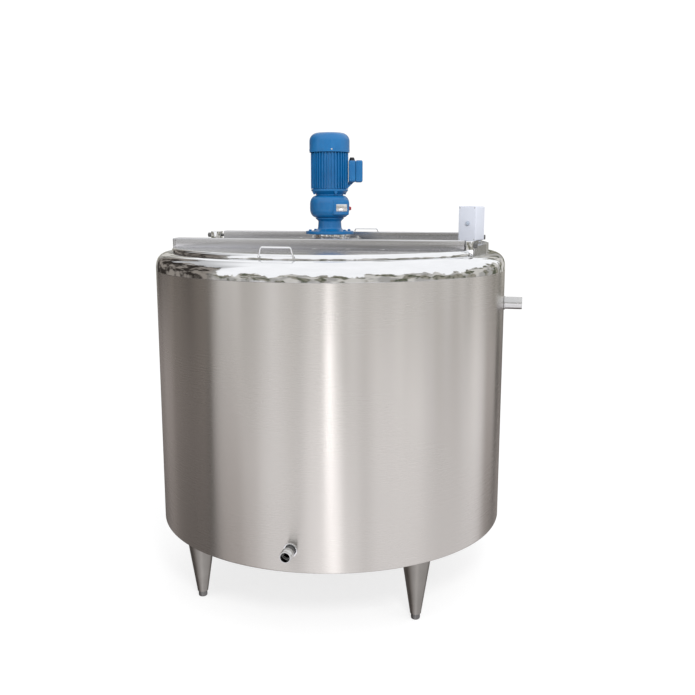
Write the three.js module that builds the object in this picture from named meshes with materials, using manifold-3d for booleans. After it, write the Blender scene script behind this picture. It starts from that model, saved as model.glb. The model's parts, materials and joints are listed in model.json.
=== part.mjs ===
// A jacketed and insulated bulk milk tank on four tapered legs, with two half lids and an agitator on top.
// Millimetres, +Z up. The origin is on the floor, on the tank's vertical axis. The drain points along -Y.
import * as THREE from "three";
import { mergeVertices } from "three/addons/utils/BufferGeometryUtils.js";
import Module from "manifold-3d";

const wasm = await Module();
wasm.setup();

// ---- Driving dimensions ----
const GAP = 0.3; // clearance between pieces that rest on each other
const ROUND = 48; // facets round the tank
const MEDIUM_ROUND = 24; // facets round the motor and gearbox
const SMALL_ROUND = 16; // facets round pins, pipes and rods

const LEG_HEIGHT = 265; // floor to the underside of the tank
const SHELL_RADIUS = 700;
const SHELL_SHEET = 2.5;
const SHELL_TOP = 1278; // where the brushed cladding meets the polished shoulder
const SHELL_CORNER = 12; // rounding of the bottom edge

const RIM_RADIUS = 638; // where the shoulder becomes level
const RIM_TOP = 1347;
const SHOULDER_STRAIGHT = 7; // upright part of the shoulder ring
const SHOULDER_POWER = 0.8; // 1 is a quarter ellipse, and less than 1 is fuller

const VESSEL_RADIUS = 600;
const VESSEL_SHEET = 3;
const VESSEL_FOOT = 470; // height at which the upright wall ends
const VESSEL_KNUCKLE = 40;
const SUMP_HEIGHT = 392;

const JACKET_RADIUS = 640;
const JACKET_BOTTOM = 480;
const JACKET_TOP = 1200;

const DRAIN_X = 22;
const DRAIN_Z = 349;
const DRAIN_REACH = 765; // from the axis to the drain's mouth
const DRAIN_PIPE = { outer: 18, inner: 15 };
const NOZZLE_PIPE = { outer: 24, inner: 20.8, reach: 770 };
const JACKET_INLET_Z = 560;
const JACKET_OUTLET_Z = 1149;

const LEG_OFFSET = 425; // of each leg from the axis, along X and along Y
const LEG_TOP_RADIUS = 57;
const FOOT_RADIUS = 17;
const FOOT_TOP = 22;

const LID_RADIUS = 637;
const LID_TOP = 1366;
const LID_SHEET = 2;
const LID_ROLL = { across: 14, high: 16 }; // the lid's rolled edge
const HINGE_Y = 241; // of each lid's hinge line from the axis
const RAIL_SIZE = 38; // square tube along each lid's hinge line
const HINGE_PIN_RADIUS = 6;
const HINGE_BORE_RADIUS = (HINGE_PIN_RADIUS + 0.05) / Math.cos(Math.PI / SMALL_ROUND);
const HANDLE = { foot: 62, thick: 3 };

// Each lid's turn about the tank's axis, the height of its tube, and what is at the two ends of its hinge
// line, as distances along X from the middle: the tube's end, the pivot block's two faces, and then the
// thickness of the pin's head. Its handle stands to one side of the lid's middle.
const LIDS = [
  {
    name: "front",
    turn: 0,
    railBottom: LID_TOP - LID_SHEET,
    handle: { shift: 35.5, top: 1390 },
    left: { tube: 564, block: [565, 578], head: 0 },
    right: { tube: 561, block: [565, 593], head: 14 },
  },
  {
    name: "rear",
    turn: Math.PI,
    railBottom: LID_TOP + 10,
    handle: { shift: 17.5, top: 1414 },
    left: { tube: 548, block: [565, 611], head: 18 },
    right: { tube: 561, block: [565, 593], head: 14 },
  },
];

const BRIDGE_HALF_WIDTH = 212;
const BRIDGE_TOP = 1381;
const MOTOR_PLATE = { size: 220, thick: 12 };
const SPACER = { x: 10, outer: 73, inner: 52, top: 1412.7 }; // its middle is beside the drive's axis

const DRIVE_X = -5.5; // of the drive's and the agitator's axis from the tank's
const DRIVE = { flange: 97, gearbox: 79.4, waist: 55, frame: 75.5, cowl: 80.3 };
const DRIVE_TURN = 13.8; // in degrees, of the gearbox's flat boss and of the motor's terminal box
const DRIVE_Z = { flange: 1413, neck: 1424, gearbox: 1478, shield: 1566, frame: 1591, cowl: 1735, top: 1814 };

const PROBE = { x: 560, y: 30, bottom: 620 };
const SHAFT_RADIUS = 16;
const SHAFT_BOTTOM = 520;
const GEAR_RATIO = 17; // turns of the motor to one turn of the agitator

// ---- Colours and finishes ----
function finish(color, roughness, metalness) {
  return new THREE.MeshStandardMaterial({ color, roughness, metalness });
}

const BRUSHED = finish(0xb9b3a8, 0.38, 1);
const POLISHED = finish(0xd8dadb, 0.08, 1);
const MILL = finish(0xa3a5a6, 0.32, 1);
const BLUE = finish(0x0f5fa8, 0.35, 0);
const WHITE = finish(0xe6ebf4, 0.4, 0);
const BLACK = finish(0x1d1f22, 0.6, 0);
const GREY = finish(0x9fabbd, 0.5, 0);
const RED = finish(0xb02028, 0.4, 0);
const FOAM = finish(0xd9c98f, 0.9, 0);
const DARK_STEEL = finish(0x5c5f63, 0.45, 1);

const tank = new THREE.Group();
const drive = new THREE.Group();
drive.position.x = DRIVE_X;
tank.add(drive);
const driveSide = new THREE.Group(); // for what is fitted to the side of the gearbox and of the motor
driveSide.rotation.z = THREE.MathUtils.degToRad(DRIVE_TURN);
drive.add(driveSide);

// ---- Shapes ----
function solid(geometry) {
  const bare = geometry.clone();
  bare.deleteAttribute("normal");
  bare.deleteAttribute("uv");
  const merged = mergeVertices(bare, 1e-3);
  const mesh = { numProp: 3, vertProperties: merged.attributes.position.array };
  return new wasm.Manifold(new wasm.Mesh({ ...mesh, triVerts: new Uint32Array(merged.index.array) }));
}

function geometryOf(manifold) {
  const mesh = manifold.getMesh();
  const indexed = new THREE.BufferGeometry()
    .setAttribute("position", new THREE.BufferAttribute(mesh.vertProperties, 3))
    .setIndex(new THREE.BufferAttribute(mesh.triVerts, 1));
  const faceted = indexed.toNonIndexed();
  faceted.computeVertexNormals();
  return faceted;
}

function add(name, shape, material, parent = tank) {
  const geometry = shape.isBufferGeometry ? shape : geometryOf(shape);
  const mesh = new THREE.Mesh(geometry, material);
  mesh.name = name;
  parent.add(mesh);
  return mesh;
}

// A profile of [radius, z] points turned about Z. One that doesn't start and end on the axis is closed here.
function turned(profile, facets = SMALL_ROUND) {
  const points = profile.map(([radius, z]) => new THREE.Vector2(radius, z));
  const onAxis = profile[0][0] === 0 && profile.at(-1)[0] === 0;
  if (!onAxis) points.push(points[0].clone());
  return new THREE.LatheGeometry(points, facets).rotateX(Math.PI / 2);
}

// Points of a quarter ellipse, as a profile, from one angle to another in degrees.
function arc(centreR, centreZ, radiusR, radiusZ, from, to, steps) {
  return Array.from({ length: steps + 1 }, (_, i) => {
    const angle = THREE.MathUtils.degToRad(from + ((to - from) * i) / steps);
    return [centreR + radiusR * Math.cos(angle), centreZ + radiusZ * Math.sin(angle)];
  });
}

// A quarter of a fuller or flatter curve than an ellipse, as a profile from its side to its top.
function quarter(centreR, centreZ, radiusR, radiusZ, power, steps) {
  return Array.from({ length: steps + 1 }, (_, i) => {
    const angle = ((Math.PI / 2) * i) / steps;
    const across = radiusR * Math.cos(angle) ** power;
    return [centreR + across, centreZ + radiusZ * Math.sin(angle) ** power];
  });
}

function ring(outer, inner, bottom, top, facets = SMALL_ROUND) {
  const profile = [
    [inner, bottom],
    [outer, bottom],
    [outer, top],
    [inner, top],
  ];
  return turned(profile, facets);
}

function disc(radius, bottom, top, facets = SMALL_ROUND) {
  const profile = [
    [0, bottom],
    [radius, bottom],
    [radius, top],
    [0, top],
  ];
  return turned(profile, facets);
}

function box(low, high) {
  const [x0, y0, z0] = low;
  const [x1, y1, z1] = high;
  const middle = [(x0 + x1) / 2, (y0 + y1) / 2, (z0 + z1) / 2];
  return new THREE.BoxGeometry(x1 - x0, y1 - y0, z1 - z0).translate(...middle);
}

// A rectangle with rounded corners, as a profile of [y, z] points.
function roundedRectangle(half, bottom, top, radius) {
  const steps = 3;
  const right = arc(half - radius, top - radius, radius, radius, 0, 90, steps);
  const left = arc(radius - half, top - radius, radius, radius, 90, 180, steps);
  const lowerLeft = arc(radius - half, bottom + radius, radius, radius, 180, 270, steps);
  const lowerRight = arc(half - radius, bottom + radius, radius, radius, 270, 360, steps);
  return [...right, ...left, ...lowerLeft, ...lowerRight];
}

// An upright profile of [y, z] points drawn out along X.
function drawnAlongX(profile, from, to) {
  const shape = new THREE.Shape(profile.map(([y, z]) => new THREE.Vector2(y, z)));
  const drawn = new THREE.ExtrudeGeometry(shape, { depth: to - from, bevelEnabled: false });
  return drawn.rotateX(Math.PI / 2).rotateZ(Math.PI / 2).translate(from, 0, 0);
}

// A rod or pipe of round section through points, with smooth bends.
function rod(points, radius, steps, facets = 12) {
  const places = points.map((p) => new THREE.Vector3(...p));
  const tension = 0.2;
  const path = new THREE.CatmullRomCurve3(places, false, "catmullrom", tension);
  const section = new THREE.Shape();
  for (let i = 0; i < facets; i += 1) {
    const angle = (2 * Math.PI * i) / facets;
    const place = [radius * Math.cos(angle), radius * Math.sin(angle)];
    if (i === 0) section.moveTo(...place);
    else section.lineTo(...place);
  }
  return new THREE.ExtrudeGeometry(section, { steps, extrudePath: path, bevelEnabled: false });
}

// Pieces made about Z, laid down to point along -Y, +Y or +X.
const towardsFront = (geometry) => geometry.rotateX(Math.PI / 2);
const towardsRear = (geometry) => geometry.rotateX(-Math.PI / 2);
const towardsRight = (geometry) => geometry.rotateY(Math.PI / 2);

// ---- Tank body ----
// A wall round the tank with holes for the drain and the two nozzles, each wider than its pipe.
function pierced(wall, clear) {
  const from = VESSEL_RADIUS;
  const to = SHELL_RADIUS + 60;
  const nozzle = NOZZLE_PIPE.outer + clear.nozzles;
  const drain = DRAIN_PIPE.outer + clear.drain;
  const drainHole = towardsFront(disc(drain, from, to)).translate(DRAIN_X, 0, DRAIN_Z);
  const inletHole = towardsRear(disc(nozzle, from, to)).translate(0, 0, JACKET_INLET_Z);
  const outletHole = towardsRight(disc(nozzle, from, to)).translate(0, 0, JACKET_OUTLET_Z);
  return [drainHole, inletHole, outletHole].reduce((left, hole) => left.subtract(solid(hole)), solid(wall));
}

function makeShell() {
  const inside = SHELL_RADIUS - SHELL_SHEET;
  const corner = SHELL_RADIUS - SHELL_CORNER;
  const cornerZ = LEG_HEIGHT + SHELL_CORNER;
  const inner = SHELL_CORNER - SHELL_SHEET;
  const profile = [
    ...arc(corner, cornerZ, SHELL_CORNER, SHELL_CORNER, -90, 0, 2),
    [SHELL_RADIUS, SHELL_TOP - GAP],
    [inside, SHELL_TOP - GAP],
    ...arc(corner, cornerZ, inner, inner, 0, -90, 2),
  ];
  add("outer_shell", pierced(turned(profile, ROUND), { drain: 1, nozzles: GAP }), BRUSHED);

  const plateRadius = corner - GAP;
  add("bottom_plate", disc(plateRadius, LEG_HEIGHT, LEG_HEIGHT + 3, ROUND), MILL);

  const straightTop = SHELL_TOP + SHOULDER_STRAIGHT;
  const acrossOuter = SHELL_RADIUS - RIM_RADIUS;
  const riseOuter = RIM_TOP - straightTop;
  const across = acrossOuter - SHELL_SHEET;
  const rise = riseOuter - SHELL_SHEET;
  const steps = 6;
  const shoulder = [
    [SHELL_RADIUS, SHELL_TOP],
    ...quarter(RIM_RADIUS, straightTop, acrossOuter, riseOuter, SHOULDER_POWER, steps),
    ...quarter(RIM_RADIUS, straightTop, across, rise, SHOULDER_POWER, steps).reverse(),
    [inside, SHELL_TOP],
  ];
  add("polished_shoulder", turned(shoulder, ROUND), POLISHED);
}

// The vessel: an upright wall with a flange round its top, and a conical bottom that falls to the drain.
function makeVessel() {
  const outside = VESSEL_RADIUS + VESSEL_SHEET;
  const flange = RIM_RADIUS - GAP;
  const wall = [
    [outside, VESSEL_FOOT],
    [outside, RIM_TOP - VESSEL_SHEET],
    [flange, RIM_TOP - VESSEL_SHEET],
    [flange, RIM_TOP],
    [VESSEL_RADIUS, RIM_TOP],
    [VESSEL_RADIUS, VESSEL_FOOT],
  ];
  add("inner_vessel", turned(wall, ROUND), MILL);

  const knuckleR = VESSEL_RADIUS - VESSEL_KNUCKLE;
  const knuckleZ = VESSEL_FOOT - GAP;
  const under = VESSEL_KNUCKLE + VESSEL_SHEET;
  const tilt = -82; // direction in degrees at which the knuckle meets the conical bottom
  const steps = 3;
  const hole = DRAIN_PIPE.inner;
  const bottom = [
    [hole, SUMP_HEIGHT - VESSEL_SHEET],
    ...arc(knuckleR, knuckleZ, under, under, tilt, 0, steps),
    ...arc(knuckleR, knuckleZ, VESSEL_KNUCKLE, VESSEL_KNUCKLE, 0, tilt, steps),
    [hole, SUMP_HEIGHT],
  ];
  add("vessel_bottom", turned(bottom, ROUND), MILL);
}

function makeJacket() {
  const sheet = 2.5;
  const inner = VESSEL_RADIUS + VESSEL_SHEET + GAP;
  const profile = [
    [inner, JACKET_BOTTOM],
    [JACKET_RADIUS, JACKET_BOTTOM],
    [JACKET_RADIUS, JACKET_TOP],
    [inner, JACKET_TOP],
    [inner, JACKET_TOP - sheet],
    [JACKET_RADIUS - sheet, JACKET_TOP - sheet],
    [JACKET_RADIUS - sheet, JACKET_BOTTOM + sheet],
    [inner, JACKET_BOTTOM + sheet],
  ];
  const inletHole = towardsRear(disc(NOZZLE_PIPE.inner, 610, 700)).translate(0, 0, JACKET_INLET_Z);
  const outletHole = towardsRight(disc(NOZZLE_PIPE.inner, 610, 700)).translate(0, 0, JACKET_OUTLET_Z);
  const jacket = solid(turned(profile, ROUND)).subtract(solid(inletHole)).subtract(solid(outletHole));
  add("cooling_jacket", jacket, MILL);
}

// One cup of foam, under the vessel and round its jacket.
function makeInsulation() {
  const outer = SHELL_RADIUS - SHELL_SHEET - 1;
  const inner = JACKET_RADIUS + 1;
  const floor = LEG_HEIGHT + 4;
  const base = 56;
  const bevel = 16;
  const cup = [
    [0, floor],
    [outer - bevel, floor],
    [outer, floor + bevel],
    [outer, SHELL_TOP - 8],
    [inner, SHELL_TOP - 8],
    [inner, floor + base],
    [0, floor + base],
  ];
  add("insulation", pierced(turned(cup, ROUND), { drain: 3, nozzles: 3 }), FOAM);
}

// ---- Pipe connections ----
function makeDrain() {
  const sumpTop = SUMP_HEIGHT - VESSEL_SHEET - GAP;
  const bend = DRAIN_Z + 4;
  const route = (end) => [
    [0, 0, sumpTop],
    [0, 0, bend + 14],
    [1, -14, bend],
    [3, -80, DRAIN_Z + 3],
    [DRAIN_X - 2, -600, DRAIN_Z],
    [DRAIN_X, -640, DRAIN_Z],
    [DRAIN_X, end, DRAIN_Z],
  ];
  const pipeEnd = -(DRAIN_REACH - 30);
  const pipe = solid(rod(route(pipeEnd), DRAIN_PIPE.outer, 9, 12));
  const boreRoute = route(pipeEnd - 30);
  boreRoute.unshift([0, 0, sumpTop + 30]);
  const bore = solid(rod(boreRoute, DRAIN_PIPE.inner, 10, 12));
  add("drain_pipe", pipe.subtract(bore), MILL);

  const collar = ring(25, DRAIN_PIPE.outer + 1, SHELL_RADIUS + GAP, SHELL_RADIUS + 4);
  add("drain_collar", towardsFront(collar).translate(DRAIN_X, 0, DRAIN_Z), POLISHED);

  const mouth = DRAIN_REACH;
  const outer = 21.5;
  const opening = 17;
  const socket = DRAIN_PIPE.outer + 1;
  const union = [
    [socket, mouth - 34],
    [outer - 1, mouth - 34],
    [outer - 1, mouth - 24],
    [outer, mouth - 23],
    [outer, mouth - 1],
    [outer - 1, mouth],
    [opening, mouth],
    [opening, mouth - 28],
    [socket, mouth - 28],
  ];
  add("drain_union", towardsFront(turned(union)).translate(DRAIN_X, 0, DRAIN_Z), POLISHED);
}

function makeJacketNozzle(name, lay, z) {
  const start = JACKET_RADIUS + 1.5;
  const end = NOZZLE_PIPE.reach;
  const collar = { radius: 27, root: SHELL_RADIUS + GAP, face: SHELL_RADIUS + 4 };
  const pipe = [
    [NOZZLE_PIPE.inner, start],
    [NOZZLE_PIPE.outer, start],
    [NOZZLE_PIPE.outer, collar.root],
    [collar.radius, collar.root],
    [collar.radius, collar.face - 1],
    [collar.radius - 1, collar.face],
    [NOZZLE_PIPE.outer, collar.face],
    [NOZZLE_PIPE.outer, end - 2],
    [NOZZLE_PIPE.outer - 1.5, end],
    [NOZZLE_PIPE.inner, end],
  ];
  add(name, lay(turned(pipe)).translate(0, 0, z), MILL);
}

// ---- Legs ----
function makeLeg(name, x, y) {
  const group = new THREE.Group();
  group.position.set(x, y, 0);
  tank.add(group);

  const top = LEG_HEIGHT - GAP;
  const wall = 3;
  const boss = { top: 60, bore: 8.3 };
  const radiusAt = (z) => FOOT_RADIUS + ((LEG_TOP_RADIUS - FOOT_RADIUS) * z) / top;
  const leg = [
    [boss.bore, FOOT_TOP],
    [radiusAt(FOOT_TOP), FOOT_TOP],
    [LEG_TOP_RADIUS, top],
    [LEG_TOP_RADIUS - wall, top],
    [radiusAt(boss.top) - wall, boss.top],
    [boss.bore, boss.top],
  ];
  add(`${name}_leg`, turned(leg), BRUSHED, group);

  const foot = [
    [0, 0],
    [FOOT_RADIUS - 3, 0],
    [FOOT_RADIUS - 1, 2],
    [FOOT_RADIUS, FOOT_TOP - GAP],
    [8, FOOT_TOP - GAP],
    [8, boss.top + 25],
    [0, boss.top + 25],
  ];
  add(`${name}_foot`, turned(foot), DARK_STEEL, group);
}

// ---- Bridge across the top ----
function makeBridge() {
  const w = BRIDGE_HALF_WIDTH;
  const sheet = 3;
  const lipBottom = RIM_TOP + 1;
  const lipTop = lipBottom + sheet;
  const lipReach = 272;
  const endCut = solid(disc(LID_RADIUS - 3, RIM_TOP, BRIDGE_TOP + 1, ROUND));
  const deck = solid(box([-LID_RADIUS, -w, BRIDGE_TOP - sheet], [LID_RADIUS, w, BRIDGE_TOP]));
  const skirt = ring(LID_RADIUS - 3, LID_RADIUS - 6, RIM_TOP + GAP, BRIDGE_TOP - 1, ROUND);
  const between = solid(box([-LID_RADIUS, -w, RIM_TOP], [LID_RADIUS, w, BRIDGE_TOP]));
  let bridge = deck.add(solid(skirt).intersect(between)).intersect(endCut);
  const insideVessel = solid(disc(VESSEL_RADIUS - 4, RIM_TOP, BRIDGE_TOP, ROUND));
  for (const side of [-1, 1]) {
    const outer = side * w;
    const inner = side * (w - sheet);
    const webProfile = [
      [inner, lipBottom],
      [side * lipReach, lipBottom],
      [side * lipReach, lipTop],
      [outer, lipTop],
      [outer, BRIDGE_TOP - 1],
      [inner, BRIDGE_TOP - 1],
    ];
    const profile = side > 0 ? webProfile : webProfile.reverse();
    const web = solid(drawnAlongX(profile, -LID_RADIUS, LID_RADIUS));
    const lipCut = web.intersect(insideVessel);
    const upright = web.intersect(between).intersect(endCut);
    bridge = bridge.add(lipCut).add(upright);
  }
  const shaftHole = solid(disc(60, RIM_TOP, BRIDGE_TOP + 1).translate(DRIVE_X, 0, 0));
  add("bridge", bridge.subtract(shaftHole), MILL);

  const half = MOTOR_PLATE.size / 2;
  const plateBottom = BRIDGE_TOP + GAP;
  const plateTop = BRIDGE_TOP + MOTOR_PLATE.thick;
  const plate = solid(box([-half, -half, plateBottom], [half, half, plateTop]));
  add("motor_plate", plate.subtract(solid(disc(SPACER.inner, BRIDGE_TOP, plateTop + 1))), MILL, drive);
  const spacer = ring(SPACER.outer, SPACER.inner, plateTop + GAP, SPACER.top, MEDIUM_ROUND);
  add("spacer_ring", spacer.translate(SPACER.x, 0, 0), POLISHED, drive);
  add("shaft_seal", ring(SPACER.inner - 1, SHAFT_RADIUS + 0.6, plateBottom - 8, plateTop), BLACK, drive);
}

// ---- Lids ----
// Each lid is drawn as the front one, about the tank's axis, and the rear one is turned half round.
function makeLid(lid) {
  const { name, turn, railBottom } = lid;
  const group = new THREE.Group();
  group.rotation.z = turn;
  tank.add(group);

  const chord = -(HINGE_Y - RAIL_SIZE / 2);
  const railFront = chord - RAIL_SIZE;
  const railTop = railBottom + RAIL_SIZE;
  const from = -(turn ? lid.right : lid.left).tube;
  const to = (turn ? lid.left : lid.right).tube;

  const far = LID_RADIUS + 20;
  const segment = solid(box([-far, -far, RIM_TOP], [far, railFront, LID_TOP + 1]));
  const upright = solid(box([from, railFront, LID_TOP - LID_SHEET], [to, railFront + 3, railTop]));
  const tube = solid(box([from, railFront, railBottom], [to, chord, railTop]));
  const wall = 2;
  const plug = 14; // the solid length at each end of the tube, which holds the pin's bore
  const hollow = box(
    [from + plug, railFront + wall, railBottom + wall],
    [to - plug, chord - wall, railTop - wall],
  );
  const bore = towardsRight(disc(HINGE_BORE_RADIUS, from - 10, to + 10));
  bore.translate(0, -HINGE_Y, axisHeight(lid));
  const rail = upright.add(tube.subtract(solid(hollow)));
  add(`${name}_lid`, lidTop().intersect(segment).add(rail).subtract(solid(bore)), BRUSHED, group);
  makeHandle(lid, group);
}

const axisHeight = (lid) => lid.railBottom + RAIL_SIZE / 2;

// A whole round lid: a sheet with a rolled edge and, under the roll, a narrow foot that rests on the flange.
function lidTop() {
  const roll = { r: LID_RADIUS - LID_ROLL.across, z: LID_TOP - LID_ROLL.high };
  const foot = { inner: LID_RADIUS - 11, outer: LID_RADIUS - 6, bottom: RIM_TOP + 0.4 };
  const sheetBottom = LID_TOP - LID_SHEET;
  const lap = roll.r - 3;
  const edge = [
    [foot.inner, foot.bottom],
    [foot.outer, foot.bottom],
    [foot.outer, roll.z],
    ...arc(roll.r, roll.z, LID_ROLL.across, LID_ROLL.high, 0, 90, 3),
    [lap, LID_TOP],
    [lap, sheetBottom],
    [foot.inner, sheetBottom - 4],
  ];
  return solid(disc(roll.r - 1, sheetBottom, LID_TOP, ROUND)).add(solid(turned(edge, ROUND)));
}

// A bent rod whose two feet are welded to the outside of the lid's rolled edge.
function makeHandle({ name, handle: { shift, top } }, parent) {
  const { foot, thick } = HANDLE;
  const reach = LID_RADIUS + thick + GAP;
  const footY = -Math.sqrt(reach ** 2 - foot ** 2);
  const topY = -reach;
  const side = [
    [foot, footY, LID_TOP - 10],
    [foot - 2, footY, LID_TOP],
    [foot - 6, topY, top - 10],
    [foot - 8.5, topY, top - 2.5],
    [foot - 12, topY, top - 0.2],
    [foot - 17, topY, top],
  ];
  const route = [...side, ...side.map(([x, y, z]) => [-x, y, z]).reverse()];
  const handle = add(`${name}_lid_handle`, rod(route, thick, 20, 8), POLISHED, parent);
  handle.rotation.z = -shift / LID_RADIUS;
}

// The pivots at the two ends of a lid's hinge line: a block that stands on the rim and a pin through it.
function makePivots(lid) {
  const half = 16;
  const blockRise = 17; // of the block's top over the pin
  const headRadius = 10;
  const pinInside = 30; // length of the pin inside the lid's tube
  const y = lid.turn ? HINGE_Y : -HINGE_Y;
  const axisZ = axisHeight(lid);
  for (const side of [-1, 1]) {
    const place = side < 0 ? "left" : "right";
    const { tube, block, head } = lid[place];
    const along = (a, b) => [Math.min(side * a, side * b), Math.max(side * a, side * b)];
    const [low, high] = along(...block);
    const body = solid(box([low, y - half, RIM_TOP + GAP], [high, y + half, axisZ + blockRise]));
    const hole = towardsRight(disc(HINGE_PIN_RADIUS + GAP, low - 5, high + 5)).translate(0, y, axisZ);
    add(`${lid.name}_${place}_pivot_block`, body.subtract(solid(hole)), POLISHED);

    let pin = solid(towardsRight(disc(HINGE_PIN_RADIUS, ...along(tube - pinInside, block[1] + head))));
    if (head) {
      const cap = disc(headRadius, ...along(block[1] + GAP, block[1] + head));
      pin = pin.add(solid(towardsRight(cap)));
    }
    add(`${lid.name}_${place}_hinge_pin`, pin, DARK_STEEL).position.set(0, y, axisZ);
  }
}

// ---- Drive ----
function makeGearbox() {
  const { flange, gearbox, waist } = DRIVE;
  const z = DRIVE_Z;
  const bore = 30;
  const neck = 46;
  const foot = [
    [bore, z.flange],
    [flange, z.flange],
    [flange, z.neck],
    [neck + 16, z.neck + 3],
    ...arc(neck + 15, z.neck + 17, 15, 14, -90, -180, 3),
    [neck, z.gearbox - 12],
    [neck + 12, z.gearbox],
    [bore, z.gearbox],
  ];
  add("gearbox_output_housing", turned(foot, MEDIUM_ROUND), BLUE, drive);

  const top = z.shield - GAP;
  const low = z.gearbox + GAP;
  const floor = low + 8;
  const shoulder = gearbox - waist;
  const straight = { bottom: 1511, top: 1532 };
  const cavity = 61;
  const mouth = 46;
  const body = [
    [bore, low],
    ...arc(waist, straight.bottom, shoulder, straight.bottom - low, -80, 0, 4),
    ...arc(waist, straight.top, shoulder, top - straight.top, 0, 90, 4),
    [mouth, top],
    [mouth, top - 8],
    [cavity, straight.top + 3],
    [cavity, floor],
    [bore, floor],
  ];
  const boss = { left: 12, right: 76, front: -80, rear: 34 };
  const face = solid(box([boss.left, boss.front, low + 10], [boss.right, boss.rear, top - 18]));
  const core = solid(disc(cavity - 1, low, top + 1, MEDIUM_ROUND));
  const turnedFace = face.rotate([0, 0, DRIVE_TURN]).subtract(core);
  add("gearbox_housing", solid(turned(body, MEDIUM_ROUND)).add(turnedFace), BLUE, drive);

  const plug = [
    [0, 0],
    [8, 0],
    [8, 6],
    [5.5, 7.5],
    [0, 7.5],
  ];
  const plugPlace = [gearbox + GAP, -2, low + 36];
  add("oil_plug", towardsRight(turned(plug, 12)).translate(...plugPlace), RED, driveSide);
  const plate = box([26, boss.front - 1.8, low + 25], [69, boss.front - GAP, low + 53]);
  add("rating_plate", plate, MILL, driveSide);

  const discZ = floor + 10;
  add("cycloid_disc", cycloidDisc(54, 3, GEAR_RATIO, discZ, discZ + 12), DARK_STEEL, drive);
}

// A disc with rounded lobes that rolls inside the gearbox's ring of pins.
function cycloidDisc(radius, depth, lobes, bottom, top) {
  const outline = new THREE.Shape();
  const count = lobes * 6;
  for (let i = 0; i < count; i += 1) {
    const angle = (2 * Math.PI * i) / count;
    const reach = radius + depth * Math.cos(lobes * angle);
    const place = [reach * Math.cos(angle), reach * Math.sin(angle)];
    if (i === 0) outline.moveTo(...place);
    else outline.lineTo(...place);
  }
  const blank = new THREE.ExtrudeGeometry(outline, { depth: top - bottom, bevelEnabled: false });
  return solid(blank.translate(0, 0, bottom)).subtract(solid(disc(16, bottom - 1, top + 1)));
}

function makeMotor() {
  const z = DRIVE_Z;
  const shaftBore = 12;
  const rim = DRIVE.frame - 1.5;
  const shield = [
    [shaftBore + 3, z.shield],
    [DRIVE.waist, z.shield],
    [DRIVE.waist, z.shield + 3],
    [DRIVE.waist + 8, z.shield + 10],
    [rim, z.frame - 7],
    [rim, z.frame - GAP],
    [shaftBore + 3, z.frame - GAP],
  ];
  add("motor_end_shield", turned(shield, MEDIUM_ROUND), BLUE, drive);
  add("motor_frame", finnedFrame(), BLUE, drive);
  add("stator_core", ring(57.5, 36, z.frame + 22, z.cowl - 22, MEDIUM_ROUND), DARK_STEEL, drive);

  const rotorShaft = [
    [0, z.shield - 68],
    [shaftBore, z.shield - 68],
    [shaftBore, z.frame + 24],
    [35, z.frame + 24],
    [35, z.cowl - 24],
    [shaftBore, z.cowl - 24],
    [shaftBore, z.cowl + 22],
    [0, z.cowl + 22],
  ];
  add("motor_rotor", turned(rotorShaft), DARK_STEEL, drive);
  add("cooling_fan", coolingFan(), BLACK, drive);
  add("fan_cowl", fanCowl(), BLUE, drive);
}

// A tube with upright cooling fins all round it.
function finnedFrame() {
  const z = DRIVE_Z;
  const fins = 36;
  const root = 65;
  const outline = new THREE.Shape();
  for (let i = 0; i < fins; i += 1) {
    const pitch = (2 * Math.PI) / fins;
    const corners = [
      [root, 0.0],
      [DRIVE.frame, 0.08],
      [DRIVE.frame, 0.36],
      [root, 0.44],
    ];
    corners.forEach(([reach, part], j) => {
      const angle = pitch * (i + part);
      const place = [reach * Math.cos(angle), reach * Math.sin(angle)];
      if (i === 0 && j === 0) outline.moveTo(...place);
      else outline.lineTo(...place);
    });
  }
  const height = z.cowl - z.frame - GAP;
  const blank = new THREE.ExtrudeGeometry(outline, { depth: height, bevelEnabled: false });
  const bore = disc(58, z.frame - 1, z.cowl + 1, MEDIUM_ROUND);
  return solid(blank.translate(0, 0, z.frame)).subtract(solid(bore));
}

function coolingFan() {
  const bottom = DRIVE_Z.cowl + 26;
  const blades = 6;
  let fan = solid(ring(60, 12.3, bottom, bottom + 3, SMALL_ROUND)).add(
    solid(ring(20, 12.3, bottom - 14, bottom + 3, SMALL_ROUND)),
  );
  for (let i = 0; i < blades; i += 1) {
    const blade = box([18, -1.2, bottom + 1], [66, 1.2, bottom + 24]).rotateZ((2 * Math.PI * i) / blades);
    fan = fan.add(solid(blade));
  }
  return fan;
}

// A domed cover, open below, with a round grille of slots in its top.
function fanCowl() {
  const z = DRIVE_Z;
  const r = DRIVE.cowl;
  const sheet = 2;
  const corner = 32;
  const cornerZ = z.top - 3 - corner;
  const profile = [
    [0, z.top - sheet],
    [r - corner, z.top - 3 - sheet],
    ...arc(r - corner, cornerZ, corner - sheet, corner - sheet, 75, 0, 3),
    [r - sheet, z.cowl],
    [r, z.cowl],
    ...arc(r - corner, cornerZ, corner, corner, 0, 75, 3),
    [r - corner, z.top - 3],
    [0, z.top],
  ];
  let cowl = solid(turned(profile, MEDIUM_ROUND));
  const slots = 7;
  const pitch = 14;
  const grille = 50; // radius of the slotted part
  for (let i = 0; i < slots; i += 1) {
    const offset = (i - (slots - 1) / 2) * pitch;
    const reach = Math.sqrt(grille ** 2 - offset ** 2);
    const slot = box([offset - 3, -reach, z.top - 20], [offset + 3, reach, z.top + 5]);
    cowl = cowl.subtract(solid(slot));
  }
  return cowl;
}

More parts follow.
